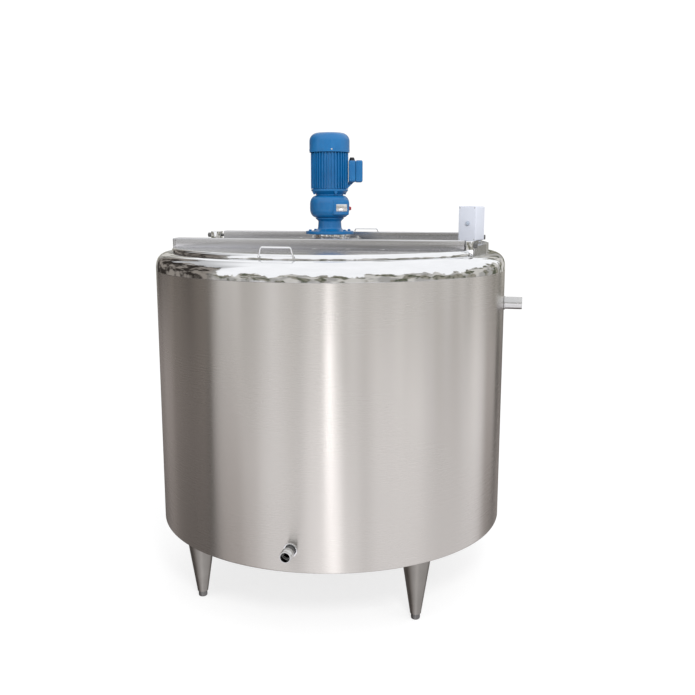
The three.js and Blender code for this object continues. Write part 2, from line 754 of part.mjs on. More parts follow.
function makeTerminalBox() {
  const x0 = DRIVE.frame + 1.5;
  const x1 = 103;
  const coverFace = 131.8;
  const half = 36;
  const bottom = 1619;
  const top = 1703;
  const wall = 3;
  const round = 9;
  const middle = (x0 + x1) / 2;
  const outer = solid(drawnAlongX(roundedRectangle(half, bottom, top, round), x0, x1));
  const hollow = roundedRectangle(half - wall, bottom + wall, top - wall, round - wall);
  const inner = solid(drawnAlongX(hollow, x0 + wall, x1 + 5));
  const wireway = solid(towardsRight(disc(12, x0 - 2, x0 + 10)).translate(0, 0, (bottom + top) / 2));
  const glandHole = solid(disc(8.3, top - 10, top + 5).translate(middle, 0, 0));
  add("terminal_box", outer.subtract(inner).subtract(wireway).subtract(glandHole), BLUE, driveSide);
  const coverOutline = roundedRectangle(half + 1, bottom - 1, top + 1, round);
  const cover = solid(drawnAlongX(coverOutline, x1 + GAP, coverFace));
  const coverRoom = solid(drawnAlongX(hollow, x1 - 1, coverFace - wall));
  add("terminal_box_cover", cover.subtract(coverRoom), BLUE, driveSide);
  const gland = [
    [5, top - 6],
    [8, top - 6],
    [8, top + GAP],
    [12, top + GAP],
    [12, top + 7],
    [8.5, top + 13],
    [5, top + 13],
  ];
  add("cable_gland", turned(gland, 12).translate(middle, 0, 0), BLACK, driveSide);
}

// ---- Agitator ----
function makeAgitator() {
  const outputBottom = 1300;
  const output = [
    [0, outputBottom],
    [SHAFT_RADIUS, outputBottom],
    [SHAFT_RADIUS, DRIVE_Z.flange],
    [26, DRIVE_Z.flange + 6],
    [26, DRIVE_Z.gearbox + 10],
    [40, DRIVE_Z.gearbox + 10.5],
    [40, DRIVE_Z.gearbox + 16],
    [0, DRIVE_Z.gearbox + 16],
  ];
  add("gearbox_output_shaft", turned(output), DARK_STEEL, drive);

  const sleeve = { top: 1345, bottom: 1255, radius: 26 };
  const coupling = ring(sleeve.radius, SHAFT_RADIUS + GAP, sleeve.bottom, sleeve.top);
  add("shaft_coupling", coupling, MILL, drive);
  add("agitator_shaft", disc(SHAFT_RADIUS, SHAFT_BOTTOM, outputBottom - 1), POLISHED, drive);

  const hubs = [
    { name: "lower_paddle", z: SHAFT_BOTTOM + 40, reach: 330, turn: 0 },
    { name: "upper_paddle", z: SHAFT_BOTTOM + 330, reach: 260, turn: Math.PI / 2 },
  ];
  for (const { name, z, reach, turn } of hubs) {
    const hub = solid(ring(27, SHAFT_RADIUS + GAP, z - 35, z + 35));
    const core = solid(disc(20, z - 60, z + 60));
    let paddle = hub;
    for (const side of [0, Math.PI]) {
      const blade = new THREE.BoxGeometry(reach - 20, 5, 80)
        .rotateX(THREE.MathUtils.degToRad(45))
        .translate((reach + 20) / 2, 0, z)
        .rotateZ(turn + side);
      paddle = paddle.add(solid(blade).subtract(core));
    }
    add(name, paddle, POLISHED, drive);
  }
}

// ---- Control box ----
function makeControlBox() {
  const group = new THREE.Group();
  group.position.set(566, 8, 0);
  group.rotation.z = THREE.MathUtils.degToRad(-19.5);
  tank.add(group);
  const half = { x: 35, y: 45 };
  const bottom = 1392;
  const top = 1523;
  const wall = 2.5;

  const foot = solid(box([-28, -36, BRIDGE_TOP + GAP], [28, 36, BRIDGE_TOP + 3]));
  const post = solid(box([-20, -25, BRIDGE_TOP + 2], [20, 25, bottom - GAP]));
  const probeHole = solid(disc(6, BRIDGE_TOP - 5, bottom + 5, 16).translate(0, 12, 0));
  add("control_box_bracket", foot.add(post).subtract(probeHole), MILL, group);

  const coverDepth = 8;
  const room = { x: half.x - wall, rear: half.y - wall, bottom: bottom + wall, top: top - wall };
  const outer = solid(box([-half.x, coverDepth - half.y, bottom], [half.x, half.y, top]));
  const inner = solid(box([-room.x, -half.y, room.bottom], [room.x, room.rear, room.top]));
  const cableHole = solid(disc(6, bottom - 5, bottom + 10, 16).translate(0, 12, 0));
  add("control_box_body", outer.subtract(inner).subtract(cableHole), WHITE, group);

  const lip = 1.5;
  const coverLow = [-half.x - lip, -half.y, bottom - lip];
  const coverOuter = solid(box(coverLow, [half.x + lip, coverDepth - GAP - half.y, top + lip]));
  const coverHollow = box([-room.x, wall - half.y, room.bottom], [room.x, coverDepth + 2 - half.y, room.top]);
  const switchZ = 1459;
  const switchX = 3;
  const switchHole = towardsFront(disc(3.4, 30, 60, 16)).translate(switchX, 0, switchZ);
  const cover = coverOuter.subtract(solid(coverHollow)).subtract(solid(switchHole));
  add("control_box_cover", cover, WHITE, group);

  const front = half.y + GAP;
  const knob = [
    [0, 36],
    [3.2, 36],
    [3.2, front],
    [7.5, front],
    [6.8, front + 7],
    [0, front + 7],
  ];
  const grip = box([-1.6, -front - 10, -6.6], [1.6, -front - 4, 6.6]);
  const selector = solid(towardsFront(turned(knob, 16))).add(solid(grip));
  const mesh = add("selector_knob", selector, GREY, group);
  mesh.position.set(switchX, 0, switchZ);
}

// A thin sheathed temperature probe that hangs from the bridge into the milk, beside the vessel's wall.
function makeProbe() {
  const { x, y, bottom } = PROBE;
  const stem = [
    [0, bottom],
    [3, bottom],
    [5, bottom + 4],
    [5, BRIDGE_TOP - 8],
    [9, BRIDGE_TOP - 8],
    [9, BRIDGE_TOP - 3 - GAP],
    [0, BRIDGE_TOP - 3 - GAP],
  ];
  add("temperature_probe", turned(stem, 12).translate(x, y, 0), POLISHED);
}

makeShell();
makeVessel();
makeJacket();
makeInsulation();
makeDrain();
makeJacketNozzle("jacket_outlet", towardsRight, JACKET_OUTLET_Z);
makeJacketNozzle("jacket_inlet", towardsRear, JACKET_INLET_Z);
for (const [name, x, y] of [
  ["front_left", -1, -1],
  ["front_right", 1, -1],
  ["rear_left", -1, 1],
  ["rear_right", 1, 1],
]) {
  makeLeg(name, x * LEG_OFFSET, y * LEG_OFFSET);
}
makeBridge();
for (const lid of LIDS) {
  makeLid(lid);
  makePivots(lid);
}
makeGearbox();
makeMotor();
makeTerminalBox();
makeAgitator();
makeControlBox();
makeProbe();

export default tank;
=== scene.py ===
"""Looks of the bulk milk tank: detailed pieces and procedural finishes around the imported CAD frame."""

import json
import math

import bmesh
import bpy
from mathutils import Matrix, Vector


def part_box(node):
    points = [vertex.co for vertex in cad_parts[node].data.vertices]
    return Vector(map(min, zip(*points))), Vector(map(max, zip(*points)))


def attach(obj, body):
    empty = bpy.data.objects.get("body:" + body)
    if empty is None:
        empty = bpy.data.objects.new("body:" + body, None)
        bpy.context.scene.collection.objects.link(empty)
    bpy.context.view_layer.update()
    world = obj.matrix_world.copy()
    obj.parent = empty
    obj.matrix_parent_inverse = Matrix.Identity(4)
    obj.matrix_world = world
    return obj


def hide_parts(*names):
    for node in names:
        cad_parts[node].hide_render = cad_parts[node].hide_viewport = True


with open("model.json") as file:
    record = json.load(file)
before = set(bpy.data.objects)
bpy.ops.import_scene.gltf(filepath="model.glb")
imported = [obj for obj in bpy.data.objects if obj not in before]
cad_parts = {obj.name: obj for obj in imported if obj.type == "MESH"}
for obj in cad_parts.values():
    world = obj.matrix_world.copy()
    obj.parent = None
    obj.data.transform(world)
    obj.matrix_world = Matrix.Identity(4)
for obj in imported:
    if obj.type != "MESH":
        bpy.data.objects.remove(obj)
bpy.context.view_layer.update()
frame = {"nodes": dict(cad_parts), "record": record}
MM = 0.001
ROOT = "tank"


# ---------------------------------------------------------------- measures
def millimetres(node):
    """Lowest and highest corner of a CAD node in millimetres."""
    low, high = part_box(node)
    return low / MM, high / MM


SHELL_LOW, SHELL_HIGH = millimetres("outer_shell")
SHELL_R = SHELL_HIGH.x
SHOULDER_LOW, SHOULDER_HIGH = millimetres("polished_shoulder")
PLATE_LOW, PLATE_HIGH = millimetres("motor_plate")
FLANGE_LOW, FLANGE_HIGH = millimetres("gearbox_output_housing")
GEARBOX_LOW, GEARBOX_HIGH = millimetres("gearbox_housing")
SHIELD_LOW, SHIELD_HIGH = millimetres("motor_end_shield")
FRAME_LOW, FRAME_HIGH = millimetres("motor_frame")
COWL_LOW, COWL_HIGH = millimetres("fan_cowl")
CASE_BOTTOM, CASE_TOP = 1619.0, 1703.0
CASE_HALF = 36.0
CASE_BACK, CASE_FRONT, CAP_FRONT = 77.0, 103.0, 131.8
DRAIN_LOW, DRAIN_HIGH = millimetres("drain_union")
OUTLET_Z, INLET_Z = 1149.0, 560.0
SHEET = 2.5
RIM_R = 638.0
RIM_TOP = SHOULDER_HIGH.z
LID_R = 637.0
LID_TOP = 1366.0
ROLL_ACROSS, ROLL_HIGH = 14.0, 16.0
HINGE_Y = 241.0
RAIL = 38.0
RAIL_ENDS = {"front": (-564.0, 561.0), "rear": (-561.0, 548.0)}
HANDLES = {"front": (35.5, 1390.0), "rear": (17.5, 1414.0)}
DRIVE_X = (FLANGE_LOW.x + FLANGE_HIGH.x) / 2
GEARBOX_R, WAIST_R = 79.4, 55.0
DRIVE_TURN = 13.8
DRAIN_X = (DRAIN_LOW.x + DRAIN_HIGH.x) / 2
DRAIN_Z = (DRAIN_LOW.z + DRAIN_HIGH.z) / 2
TOWARDS_FRONT = Matrix.Rotation(math.radians(90), 4, "X")
TOWARDS_REAR = Matrix.Rotation(math.radians(-90), 4, "X")
TOWARDS_RIGHT = Matrix.Rotation(math.radians(90), 4, "Y")
HALF_TURN = Matrix.Rotation(math.pi, 4, "Z")


def shift(x=0.0, y=0.0, z=0.0):
    return Matrix.Translation((x, y, z))


def turn(degrees):
    return Matrix.Rotation(math.radians(degrees), 4, "Z")


def curve(centre_r, centre_z, radius_r, radius_z, start, end, steps=12):
    """Points of an ellipse from one angle to another, as a [radius, z] profile."""
    angles = [math.radians(start + (end - start) * k / steps) for k in range(steps + 1)]
    return [(centre_r + radius_r * math.cos(a), centre_z + radius_z * math.sin(a)) for a in angles]


def full_turn(count):
    """Angles at equal steps round a circle."""
    return [2 * math.pi * k / count for k in range(count)]


AXIS = shift(DRIVE_X)
DRIVE_SIDE = AXIS @ turn(DRIVE_TURN)


# ---------------------------------------------------------------- mesh code
def fillet(points, radius, closed=True, steps=4):
    """Rounds each corner of a path. A corner with a radius of its own is given as (point, radius)."""
    corners = []
    for p in points:
        own = radius
        if len(p) == 2 and hasattr(p[0], "__len__"):
            p, own = p
        corners.append((Vector(p), own))
    path = []
    for i, (corner, own) in enumerate(corners):
        ends = not closed and i in (0, len(corners) - 1)
        back = corners[i - 1][0] - corner
        ahead = corners[(i + 1) % len(corners)][0] - corner
        flat = back.length < 1e-6 or ahead.length < 1e-6 or back.angle(ahead) > math.radians(176)
        if ends or own <= 0 or flat:
            path.append(corner)
            continue
        half = math.tan(back.angle(ahead) / 2)
        reach = min(own / half, 0.48 * back.length, 0.48 * ahead.length)
        start = corner + back.normalized() * reach
        end = corner + ahead.normalized() * reach
        for k in range(steps + 1):
            u = k / steps
            path.append(start * (1 - u) ** 2 + corner * 2 * u * (1 - u) + end * u**2)
    return path


def bevelled(part, edges, offset, segments):
    bmesh.ops.bevel(part, geom=edges, offset=offset, segments=segments, profile=0.5, affect="EDGES")


class Shape:
    """Closed shells in millimetres that become one piece."""

    def __init__(self):
        self.bm = bmesh.new()

    def take(self, part, place):
        part.transform(place)
        mesh = bpy.data.meshes.new("part")
        part.to_mesh(mesh)
        part.free()
        self.bm.from_mesh(mesh)
        bpy.data.meshes.remove(mesh)
        return self

    def lathe(self, profile, radius=0.6, segments=96, place=Matrix.Identity(4), steps=4):
        """A [radius, z] profile turned about Z. It closes on itself, or starts and ends on the axis."""
        part = bmesh.new()
        path = fillet(profile, radius, True, steps)
        rings = []
        for r, z in path:
            if r < 1e-5:
                rings.append([part.verts.new((0, 0, z))] * segments)
                continue
            spokes = [(r * math.cos(a), r * math.sin(a), z) for a in full_turn(segments)]
            rings.append([part.verts.new(spoke) for spoke in spokes])
        for i, ring in enumerate(rings):
            above = rings[(i + 1) % len(rings)]
            for k in range(segments):
                side = (k + 1) % segments
                corners = list(dict.fromkeys([ring[k], ring[side], above[side], above[k]]))
                if len(corners) > 2:
                    part.faces.new(corners)
        return self.take(part, place)

    def arc(self, profile, start, end, radius=0.6, segments=96, steps=4):
        """A [radius, z] profile turned about Z from one angle to another, with flat ends."""
        part = bmesh.new()
        path = fillet(profile, radius, True, steps)
        rows = []
        for k in range(segments + 1):
            a = math.radians(start + (end - start) * k / segments)
            rows.append([part.verts.new((r * math.cos(a), r * math.sin(a), z)) for r, z in path])
        count = len(path)
        for row, beside in zip(rows, rows[1:]):
            for i in range(count):
                j = (i + 1) % count
                part.faces.new([row[i], row[j], beside[j], beside[i]])
        part.faces.new(rows[0])
        part.faces.new(rows[-1])
        return self.take(part, Matrix.Identity(4))

    def block(self, low, high, bevel=1.0, segments=3, place=Matrix.Identity(4)):
        """A box with rounded edges."""
        part = bmesh.new()
        bmesh.ops.create_cube(part, size=1.0)
        low, high = Vector(low), Vector(high)
        middle, size = (low + high) / 2, high - low
        for v in part.verts:
            v.co = Vector(v.co[i] * size[i] + middle[i] for i in range(3))
        reach = min(bevel, 0.49 * min(size))
        if reach > 0:
            bevelled(part, part.edges[:], reach, segments)
        return self.take(part, place)

    def drawn(self, outline, low, high, bevel=0.5, place=Matrix.Identity(4)):
        """An [x, y] outline drawn up along Z, with bevelled rims."""
        part = bmesh.new()
        base, top = [[part.verts.new((x, y, z)) for x, y in outline] for z in (low, high)]
        part.faces.new(base[::-1])
        part.faces.new(top)
        for k in range(len(outline)):
            side = (k + 1) % len(outline)
            part.faces.new([base[k], base[side], top[side], top[k]])
        part.normal_update()
        if bevel:
            rims = [e for e in part.edges if abs(e.verts[0].co.z - e.verts[1].co.z) < 1e-6]
            bevelled(part, rims, bevel, 2)
        return self.take(part, place)

    def rod(self, points, radius, bend=8.0, ring=16, place=Matrix.Identity(4), steps=6):
        """A round rod along a path with rounded bends."""
        path = fillet([Vector(p) for p in points], bend, False, steps)
        part = bmesh.new()
        normal = (path[1] - path[0]).orthogonal().normalized()
        rings = []
        for i, p in enumerate(path):
            ahead = path[min(i + 1, len(path) - 1)] - path[max(i - 1, 0)]
            ahead.normalize()
            normal = (normal - ahead * normal.dot(ahead)).normalized()
            across = ahead.cross(normal)
            spokes = [normal * math.cos(a) + across * math.sin(a) for a in full_turn(ring)]
            rings.append([part.verts.new(p + s * radius) for s in spokes])
        for a, b in zip(rings, rings[1:]):
            for k in range(ring):
                side = (k + 1) % ring
                part.faces.new([a[k], a[side], b[side], b[k]])
        part.faces.new(rings[0])
        part.faces.new(rings[-1])
        return self.take(part, place)

    def bolt(self, place, across=10.0, head=5.0, washer=True):
        """A hexagon head with a chamfered crown on a washer, standing up from the origin."""
        r = across / math.sqrt(3)
        base = 1.2 if washer else 0.0
        if washer:
            self.lathe([(0, 0), (across * 0.85, 0), (across * 0.85, base), (0, base)], 0.3, 32, place)
        crown = [(0, base), (r, base), (r, base + head - 0.8), (r * 0.86, base + head), (0, base + head)]
        return self.lathe(crown, 0.15, 6, place, 2)

    def screw(self, place, radius=3.0, head=1.8):
        """A domed screw head with a round recess in its crown, standing up from the origin."""
        dome = [(0, 0), (radius, 0), (radius, head * 0.45), (radius * 0.7, head * 0.9), (radius * 0.3, head)]
        self.lathe([*dome, (radius * 0.3, head * 0.55), (0, head * 0.55)], 0.2, 24, place, 2)
        return self

    def weld(self, radius, z, size, place, segments):
        """A rippled bead of weld round a circle."""
        part = bmesh.new()
        section = 10
        ripple = 0.12
        rings = []
        for k, a in enumerate(full_turn(segments)):
            swell = size * (1 + ripple * math.sin(k * math.pi / 2))
            ring = []
            for b in full_turn(section):
                r = radius + swell * math.cos(b)
                ring.append(part.verts.new((r * math.cos(a), r * math.sin(a), z + swell * math.sin(b))))
            rings.append(ring)
        for k in range(segments):
            a, b = rings[k], rings[(k + 1) % segments]
            for i in range(section):
                j = (i + 1) % section
                part.faces.new([a[i], a[j], b[j], b[i]])
        return self.take(part, place)

    def mesh(self, name, sharp=32):
        bmesh.ops.recalc_face_normals(self.bm, faces=self.bm.faces[:])
        self.bm.transform(Matrix.Scale(MM, 4))
        mesh = bpy.data.meshes.new(name)
        self.bm.to_mesh(mesh)
        self.bm.free()
        for polygon in mesh.polygons:
            polygon.use_smooth = True
        mesh.set_sharp_from_angle(angle=math.radians(sharp))
        return mesh


def piece(name, shape, finish, body=ROOT, stands_for=(), cutters=(), sharp=32):
    """Makes an object of a shape, cuts the cutters out of it, and rides it on its CAD body."""
    thing = bpy.data.objects.new(name, shape.mesh(name, sharp))
    bpy.context.scene.collection.objects.link(thing)
    for cutter in cutters:
        tool = bpy.data.objects.new("cutter", cutter.mesh("cutter"))
        bpy.context.scene.collection.objects.link(tool)
        cut = thing.modifiers.new("cut", "BOOLEAN")
        cut.operation, cut.solver, cut.object = "DIFFERENCE", "EXACT", tool
        graph = bpy.context.evaluated_depsgraph_get()
        thing.data = bpy.data.meshes.new_from_object(thing.evaluated_get(graph))
        thing.modifiers.clear()
        bpy.data.objects.remove(tool)
        thing.data.set_sharp_from_angle(angle=math.radians(sharp))
    thing.data.materials.clear()
    thing.data.materials.append(finish.material)
    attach(thing, body)
    if stands_for:
        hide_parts(*stands_for)
    return thing


# ---------------------------------------------------------------- finishes
class Graph:
    """Short ways to add nodes to a node tree."""

    def __init__(self, tree):
        self.nodes, self.links = tree.nodes, tree.links

    def feed(self, socket, value):
        """Links an output to a socket, or sets the socket to a value."""
        if hasattr(value, "node"):
            self.links.new(value, socket)
        else:
            socket.default_value = value

    def maths(self, operation, *values):
        node = self.nodes.new("ShaderNodeMath")
        node.operation = operation
        for socket, value in zip(node.inputs, values):
            self.feed(socket, value)
        return node.outputs[0]

    def ranged(self, value, start, end, low, high, blend="LINEAR"):
        """Maps a value's range from start to end on the range from low to high."""
        node = self.nodes.new("ShaderNodeMapRange")
        node.interpolation_type = blend
        for socket, number in (("From Min", start), ("From Max", end), ("To Min", low), ("To Max", high)):
            self.feed(node.inputs[socket], number)
        self.links.new(value, node.inputs["Value"])
        return node.outputs["Result"]

    def mix(self, value, dark, light):
        node = self.nodes.new("ShaderNodeMix")
        node.data_type = "RGBA"
        for socket, colour in ((node.inputs[6], dark), (node.inputs[7], light)):
            self.feed(socket, colour if hasattr(colour, "node") else (*colour, 1.0))
        self.links.new(value, node.inputs[0])
        return node.outputs[2]

    def noise_at(self, source, scale, detail, rough):
        node = self.nodes.new("ShaderNodeTexNoise")
        for socket, number in (("Scale", scale), ("Detail", detail), ("Roughness", rough)):
            node.inputs[socket].default_value = number
        self.links.new(source, node.inputs["Vector"])
        return node.outputs["Fac"]


class Finish(Graph):
    """A procedural material on the Principled shader."""

    def __init__(self, name, slot, **fixed):
        self.slot = slot
        self.material = bpy.data.materials.new(name)
        self.material.use_nodes = True
        super().__init__(self.material.node_tree)
        self.shader = self.nodes["Principled BSDF"]
        for socket, value in fixed.items():
            self.shader.inputs[socket.replace("_", " ")].default_value = value
        self.place = self.nodes.new("ShaderNodeTexCoord").outputs["Object"]

    def noise(self, scale, detail=3.0, rough=0.55):
        """Noise of one scale, or with its grain stretched by three scales, one for each axis."""
        mapping = self.nodes.new("ShaderNodeMapping")
        mapping.inputs["Scale"].default_value = scale if hasattr(scale, "__len__") else (scale,) * 3
        self.links.new(self.place, mapping.inputs["Vector"])
        return self.noise_at(mapping.outputs["Vector"], 1.0, detail, rough)

    def spread(self, value, low, high, start=0.3, end=0.7):
        return self.ranged(value, start, end, low, high)

    def sum(self, a, b):
        return self.maths("ADD", a, b)

    def colour(self, source):
        self.links.new(source, self.shader.inputs["Base Color"])
        return self

    def roughness(self, source):
        self.links.new(source, self.shader.inputs["Roughness"])
        return self

    def bump(self, *layers):
        """Bumps in series, each a (height, strength, distance in metres)."""
        before = None
        for height, strength, distance in layers:
            node = self.nodes.new("ShaderNodeBump")
            node.inputs["Strength"].default_value = strength
            node.inputs["Distance"].default_value = distance
            self.links.new(height, node.inputs["Height"])
            if before:
                self.links.new(before, node.inputs["Normal"])
            before = node.outputs["Normal"]
        self.links.new(before, self.shader.inputs["Normal"])
        return self


def brushed_round():
    """Satin sheet brushed round the tank, which spreads each reflection upright."""
    grain = {"Anisotropic": 0.93, "Anisotropic_Rotation": 0.25}
    f = Finish("brushed_cladding", "brushed_cladding", Metallic=1.0, **grain)
    tangent = f.nodes.new("ShaderNodeTangent")
    tangent.direction_type, tangent.axis = "RADIAL", "Z"
    f.links.new(tangent.outputs["Tangent"], f.shader.inputs["Tangent"])
    fine = f.noise((5, 5, 2600), 4)
    wide = f.noise((2, 2, 260), 3)
    cloud = f.noise(1.7, 2)
    tone = f.sum(f.spread(fine, -0.03, 0.03), f.spread(wide, 0.48, 0.52))
    f.colour(f.mix(tone, (0.585, 0.560, 0.530), (0.665, 0.642, 0.615)))
    f.roughness(f.sum(f.spread(fine, -0.008, 0.008), f.spread(cloud, 0.255, 0.285)))
    return f.bump((fine, 0.012, 0.0001), (cloud, 0.10, 0.004))


def brushed_leg_painted_shade():
    """The same satin sheet rolled into a cone, with painted shade: its colour is darker for the shade it
    stands in.
    """
    f = Finish("brushed_leg_painted_shade", "brushed_cladding", Metallic=1.0, Anisotropic=0.4)
    grain = f.noise((900, 900, 12), 4)
    cloud = f.noise(9, 3)
    # Painted shade: both leg colours are kept dark for the shade under the tank.
    f.colour(f.mix(f.spread(cloud, 0.2, 0.8), (0.24, 0.228, 0.212), (0.33, 0.315, 0.295)))
    f.roughness(f.sum(f.spread(grain, -0.04, 0.04), f.spread(cloud, 0.30, 0.38)))
    return f.bump((grain, 0.12, 0.0001), (cloud, 0.15, 0.002))


def polished():
    """Mirror sheet with a slow ripple and faint wiping marks."""
    f = Finish("polished_stainless", "polished_stainless", Metallic=1.0)
    ripple = f.noise((3.5, 3.5, 9), 2)
    smear = f.noise((9, 9, 60), 3)
    f.colour(f.mix(f.spread(smear, 0.2, 0.8), (0.80, 0.805, 0.82), (0.88, 0.885, 0.90)))
    f.roughness(f.spread(smear, 0.03, 0.07))
    return f.bump((ripple, 0.35, 0.004))


def mill(name="mill_stainless", slot="mill_stainless", tone=0.56):
    """Smooth rolled sheet with soft clouds and hair scratches."""
    f = Finish(name, slot, Metallic=1.0)
    cloud = f.noise(9, 3)
    hair = f.noise((700, 700, 40), 2)
    f.colour(f.mix(cloud, (tone * 0.9, tone * 0.9, tone * 0.91), (tone * 1.1, tone * 1.1, tone * 1.09)))
    f.roughness(f.sum(f.spread(cloud, 0.20, 0.28), f.spread(hair, -0.03, 0.03)))
    return f.bump((hair, 0.08, 0.0001))


def lid_sheet():
    """Fine brushed sheet whose grain runs from side to side, with broad side-to-side bands of painted
    reflection in its colour.
    """
    f = Finish("lid_sheet", "lid_sheet", Metallic=1.0)
    grain = f.noise((3, 900, 900), 4)
    painted_reflection_bands = f.noise((1.2, 34, 34), 3)
    dents = f.noise((2.2, 5, 5), 2)
    # Painted reflection: the bands swing the colour from dark to light like streaked reflections along the
    # grain.
    f.colour(f.mix(f.spread(painted_reflection_bands, 0.15, 0.85), (0.38, 0.38, 0.40), (0.78, 0.78, 0.80)))
    f.roughness(f.sum(f.spread(grain, -0.04, 0.04), f.spread(painted_reflection_bands, 0.18, 0.26)))
    return f.bump((grain, 0.08, 0.0001), (dents, 0.25, 0.004))


def enamel():
    """Sprayed blue machine enamel over a casting, with orange peel."""
    f = Finish("blue_enamel", "blue_enamel", Coat_Weight=0.30, Coat_Roughness=0.12)
    peel = f.noise(420, 2)
    casting = f.noise(60, 3)
    dust = f.noise(22, 4)
    f.colour(f.mix(f.spread(dust, 0.2, 0.8), (0.001, 0.108, 0.300), (0.003, 0.150, 0.390)))
    f.roughness(f.spread(dust, 0.32, 0.44))
    return f.bump((casting, 0.20, 0.0006), (peel, 0.12, 0.0003))


def moulded(name, slot, dark, light):
    """Moulded plastic with a fine spark-eroded grain."""
    f = Finish(name, slot)
    spark = f.noise(900, 2)
    cloud = f.noise(18, 3)
    f.colour(f.mix(cloud, dark, light))
    f.roughness(f.spread(cloud, 0.4, 0.55))
    return f.bump((spark, 0.25, 0.0002))


def machined():
    """Turned plain steel with tool marks."""
    f = Finish("dark_steel", "dark_steel", Metallic=1.0)
    marks = f.noise((40, 40, 1600), 3)
    stain = f.noise(45, 3)
    f.colour(f.mix(stain, (0.12, 0.12, 0.122), (0.22, 0.216, 0.21)))
    f.roughness(f.sum(f.spread(stain, 0.28, 0.42), f.spread(marks, -0.04, 0.04)))
    return f.bump((marks, 0.2, 0.0002))


def foam():
    f = Finish("insulation_foam", "insulation_foam")
    cells = f.noise(420, 4)
    f.colour(f.mix(cells, (0.60, 0.50, 0.27), (0.80, 0.71, 0.46)))
    f.roughness(f.spread(cells, 0.85, 0.97))
    return f.bump((cells, 0.6, 0.001))


BRUSHED = brushed_round()
LEG = brushed_leg_painted_shade()
POLISHED = polished()
MILL = mill()
LID = lid_sheet()
BLUE = enamel()
WHITE = moulded("white_housing", "white_housing", (0.59, 0.615, 0.69), (0.63, 0.655, 0.73))
BLACK = moulded("black_plastic", "black_plastic", (0.012, 0.012, 0.014), (0.03, 0.03, 0.034))
GREY = moulded("grey_plastic", "grey_plastic", (0.38, 0.43, 0.51), (0.43, 0.48, 0.56))
RED = moulded("red_plug", "red_plug", (0.33, 0.012, 0.02), (0.46, 0.02, 0.03))
DARK = machined()
FOAM = foam()
FASTENER = mill("zinc_fasteners", None, 0.74)
MACHINED_BRIGHT = mill("machined_bright", None, 0.66)
FINISHES = {f.slot: f for f in (BRUSHED, POLISHED, MILL, LID, BLUE, WHITE, BLACK, GREY, RED, DARK, FOAM)}


# ---------------------------------------------------------------- tank body
def make_shell():
    low, top = SHELL_LOW.z, SHELL_HIGH.z
    inner = SHELL_R - SHEET
    wall = [((SHELL_R, low), 12), ((SHELL_R, top), 0.8), ((inner, top), 0.8), ((inner, low + 3), 9)]
    skin = Shape().lathe([*wall, ((SHELL_R - 12, low + 3), 0), ((SHELL_R - 12, low), 0)], 0, 288, steps=6)
    hole = [(0, 600), (19.2, 600), (19.2, 760), (0, 760)]
    port = [(0, 600), (24.4, 600), (24.4, 760), (0, 760)]
    cutters = [
        Shape().lathe(hole, 0, 48, shift(DRAIN_X, 0, DRAIN_Z) @ TOWARDS_FRONT),
        Shape().lathe(port, 0, 48, shift(0, 0, INLET_Z) @ TOWARDS_REAR),
        Shape().lathe(port, 0, 48, shift(0, 0, OUTLET_Z) @ TOWARDS_RIGHT),
    ]
    piece("cladding_skin", skin, BRUSHED, stands_for=["outer_shell"], cutters=cutters)
    base = [(0, low), (SHELL_R - 12.3, low), (SHELL_R - 12.3, low + 3), (0, low + 3)]
    piece("base_sheet", Shape().lathe(base, 0.4, 288), MILL, stands_for=["bottom_plate"])


def make_shoulder():
    low, top = SHOULDER_LOW.z, SHOULDER_HIGH.z
    straight = low + 7
    outer, inner = [], []
    steps = 36
    power = 0.8
    for k in range(steps + 1):
        a = math.pi / 2 * k / steps
        c, s = abs(math.cos(a)) ** power, math.sin(a) ** power
        outer.append((RIM_R + (SHELL_R - RIM_R) * c, straight + (top - straight) * s))
        inner.append((RIM_R + (SHELL_R - RIM_R - SHEET) * c, straight + (top - straight - SHEET) * s))
    foot = [(SHELL_R - SHEET, low), (SHELL_R - 0.6, low), (SHELL_R, low + 0.9)]
    ring = Shape().lathe([*foot, *outer, *reversed(inner)], 0, 288)
    piece("mirror_shoulder", ring, POLISHED, stands_for=["polished_shoulder"])


def make_liner():
    """The inside of the vessel: wall, dished bottom and the flat flange under the lids."""
    bend = 40
    outside = [((15, 389), 0.5), ((562, 427.5), 43), ((603, 427.5), 43), ((603, RIM_TOP - 3), 2)]
    flange = [((RIM_R - 0.3, RIM_TOP - 3), 0.5), ((RIM_R - 0.3, RIM_TOP), 0.5)]
    inside = [((600, RIM_TOP), 4), ((600, 430.5), bend), ((561, 430.5), bend), ((15, 392), 0.5)]
    liner = Shape().lathe([*outside, *flange, *inside], 0, 192, steps=10)
    piece("vessel_liner", liner, MILL, stands_for=["inner_vessel", "vessel_bottom"])


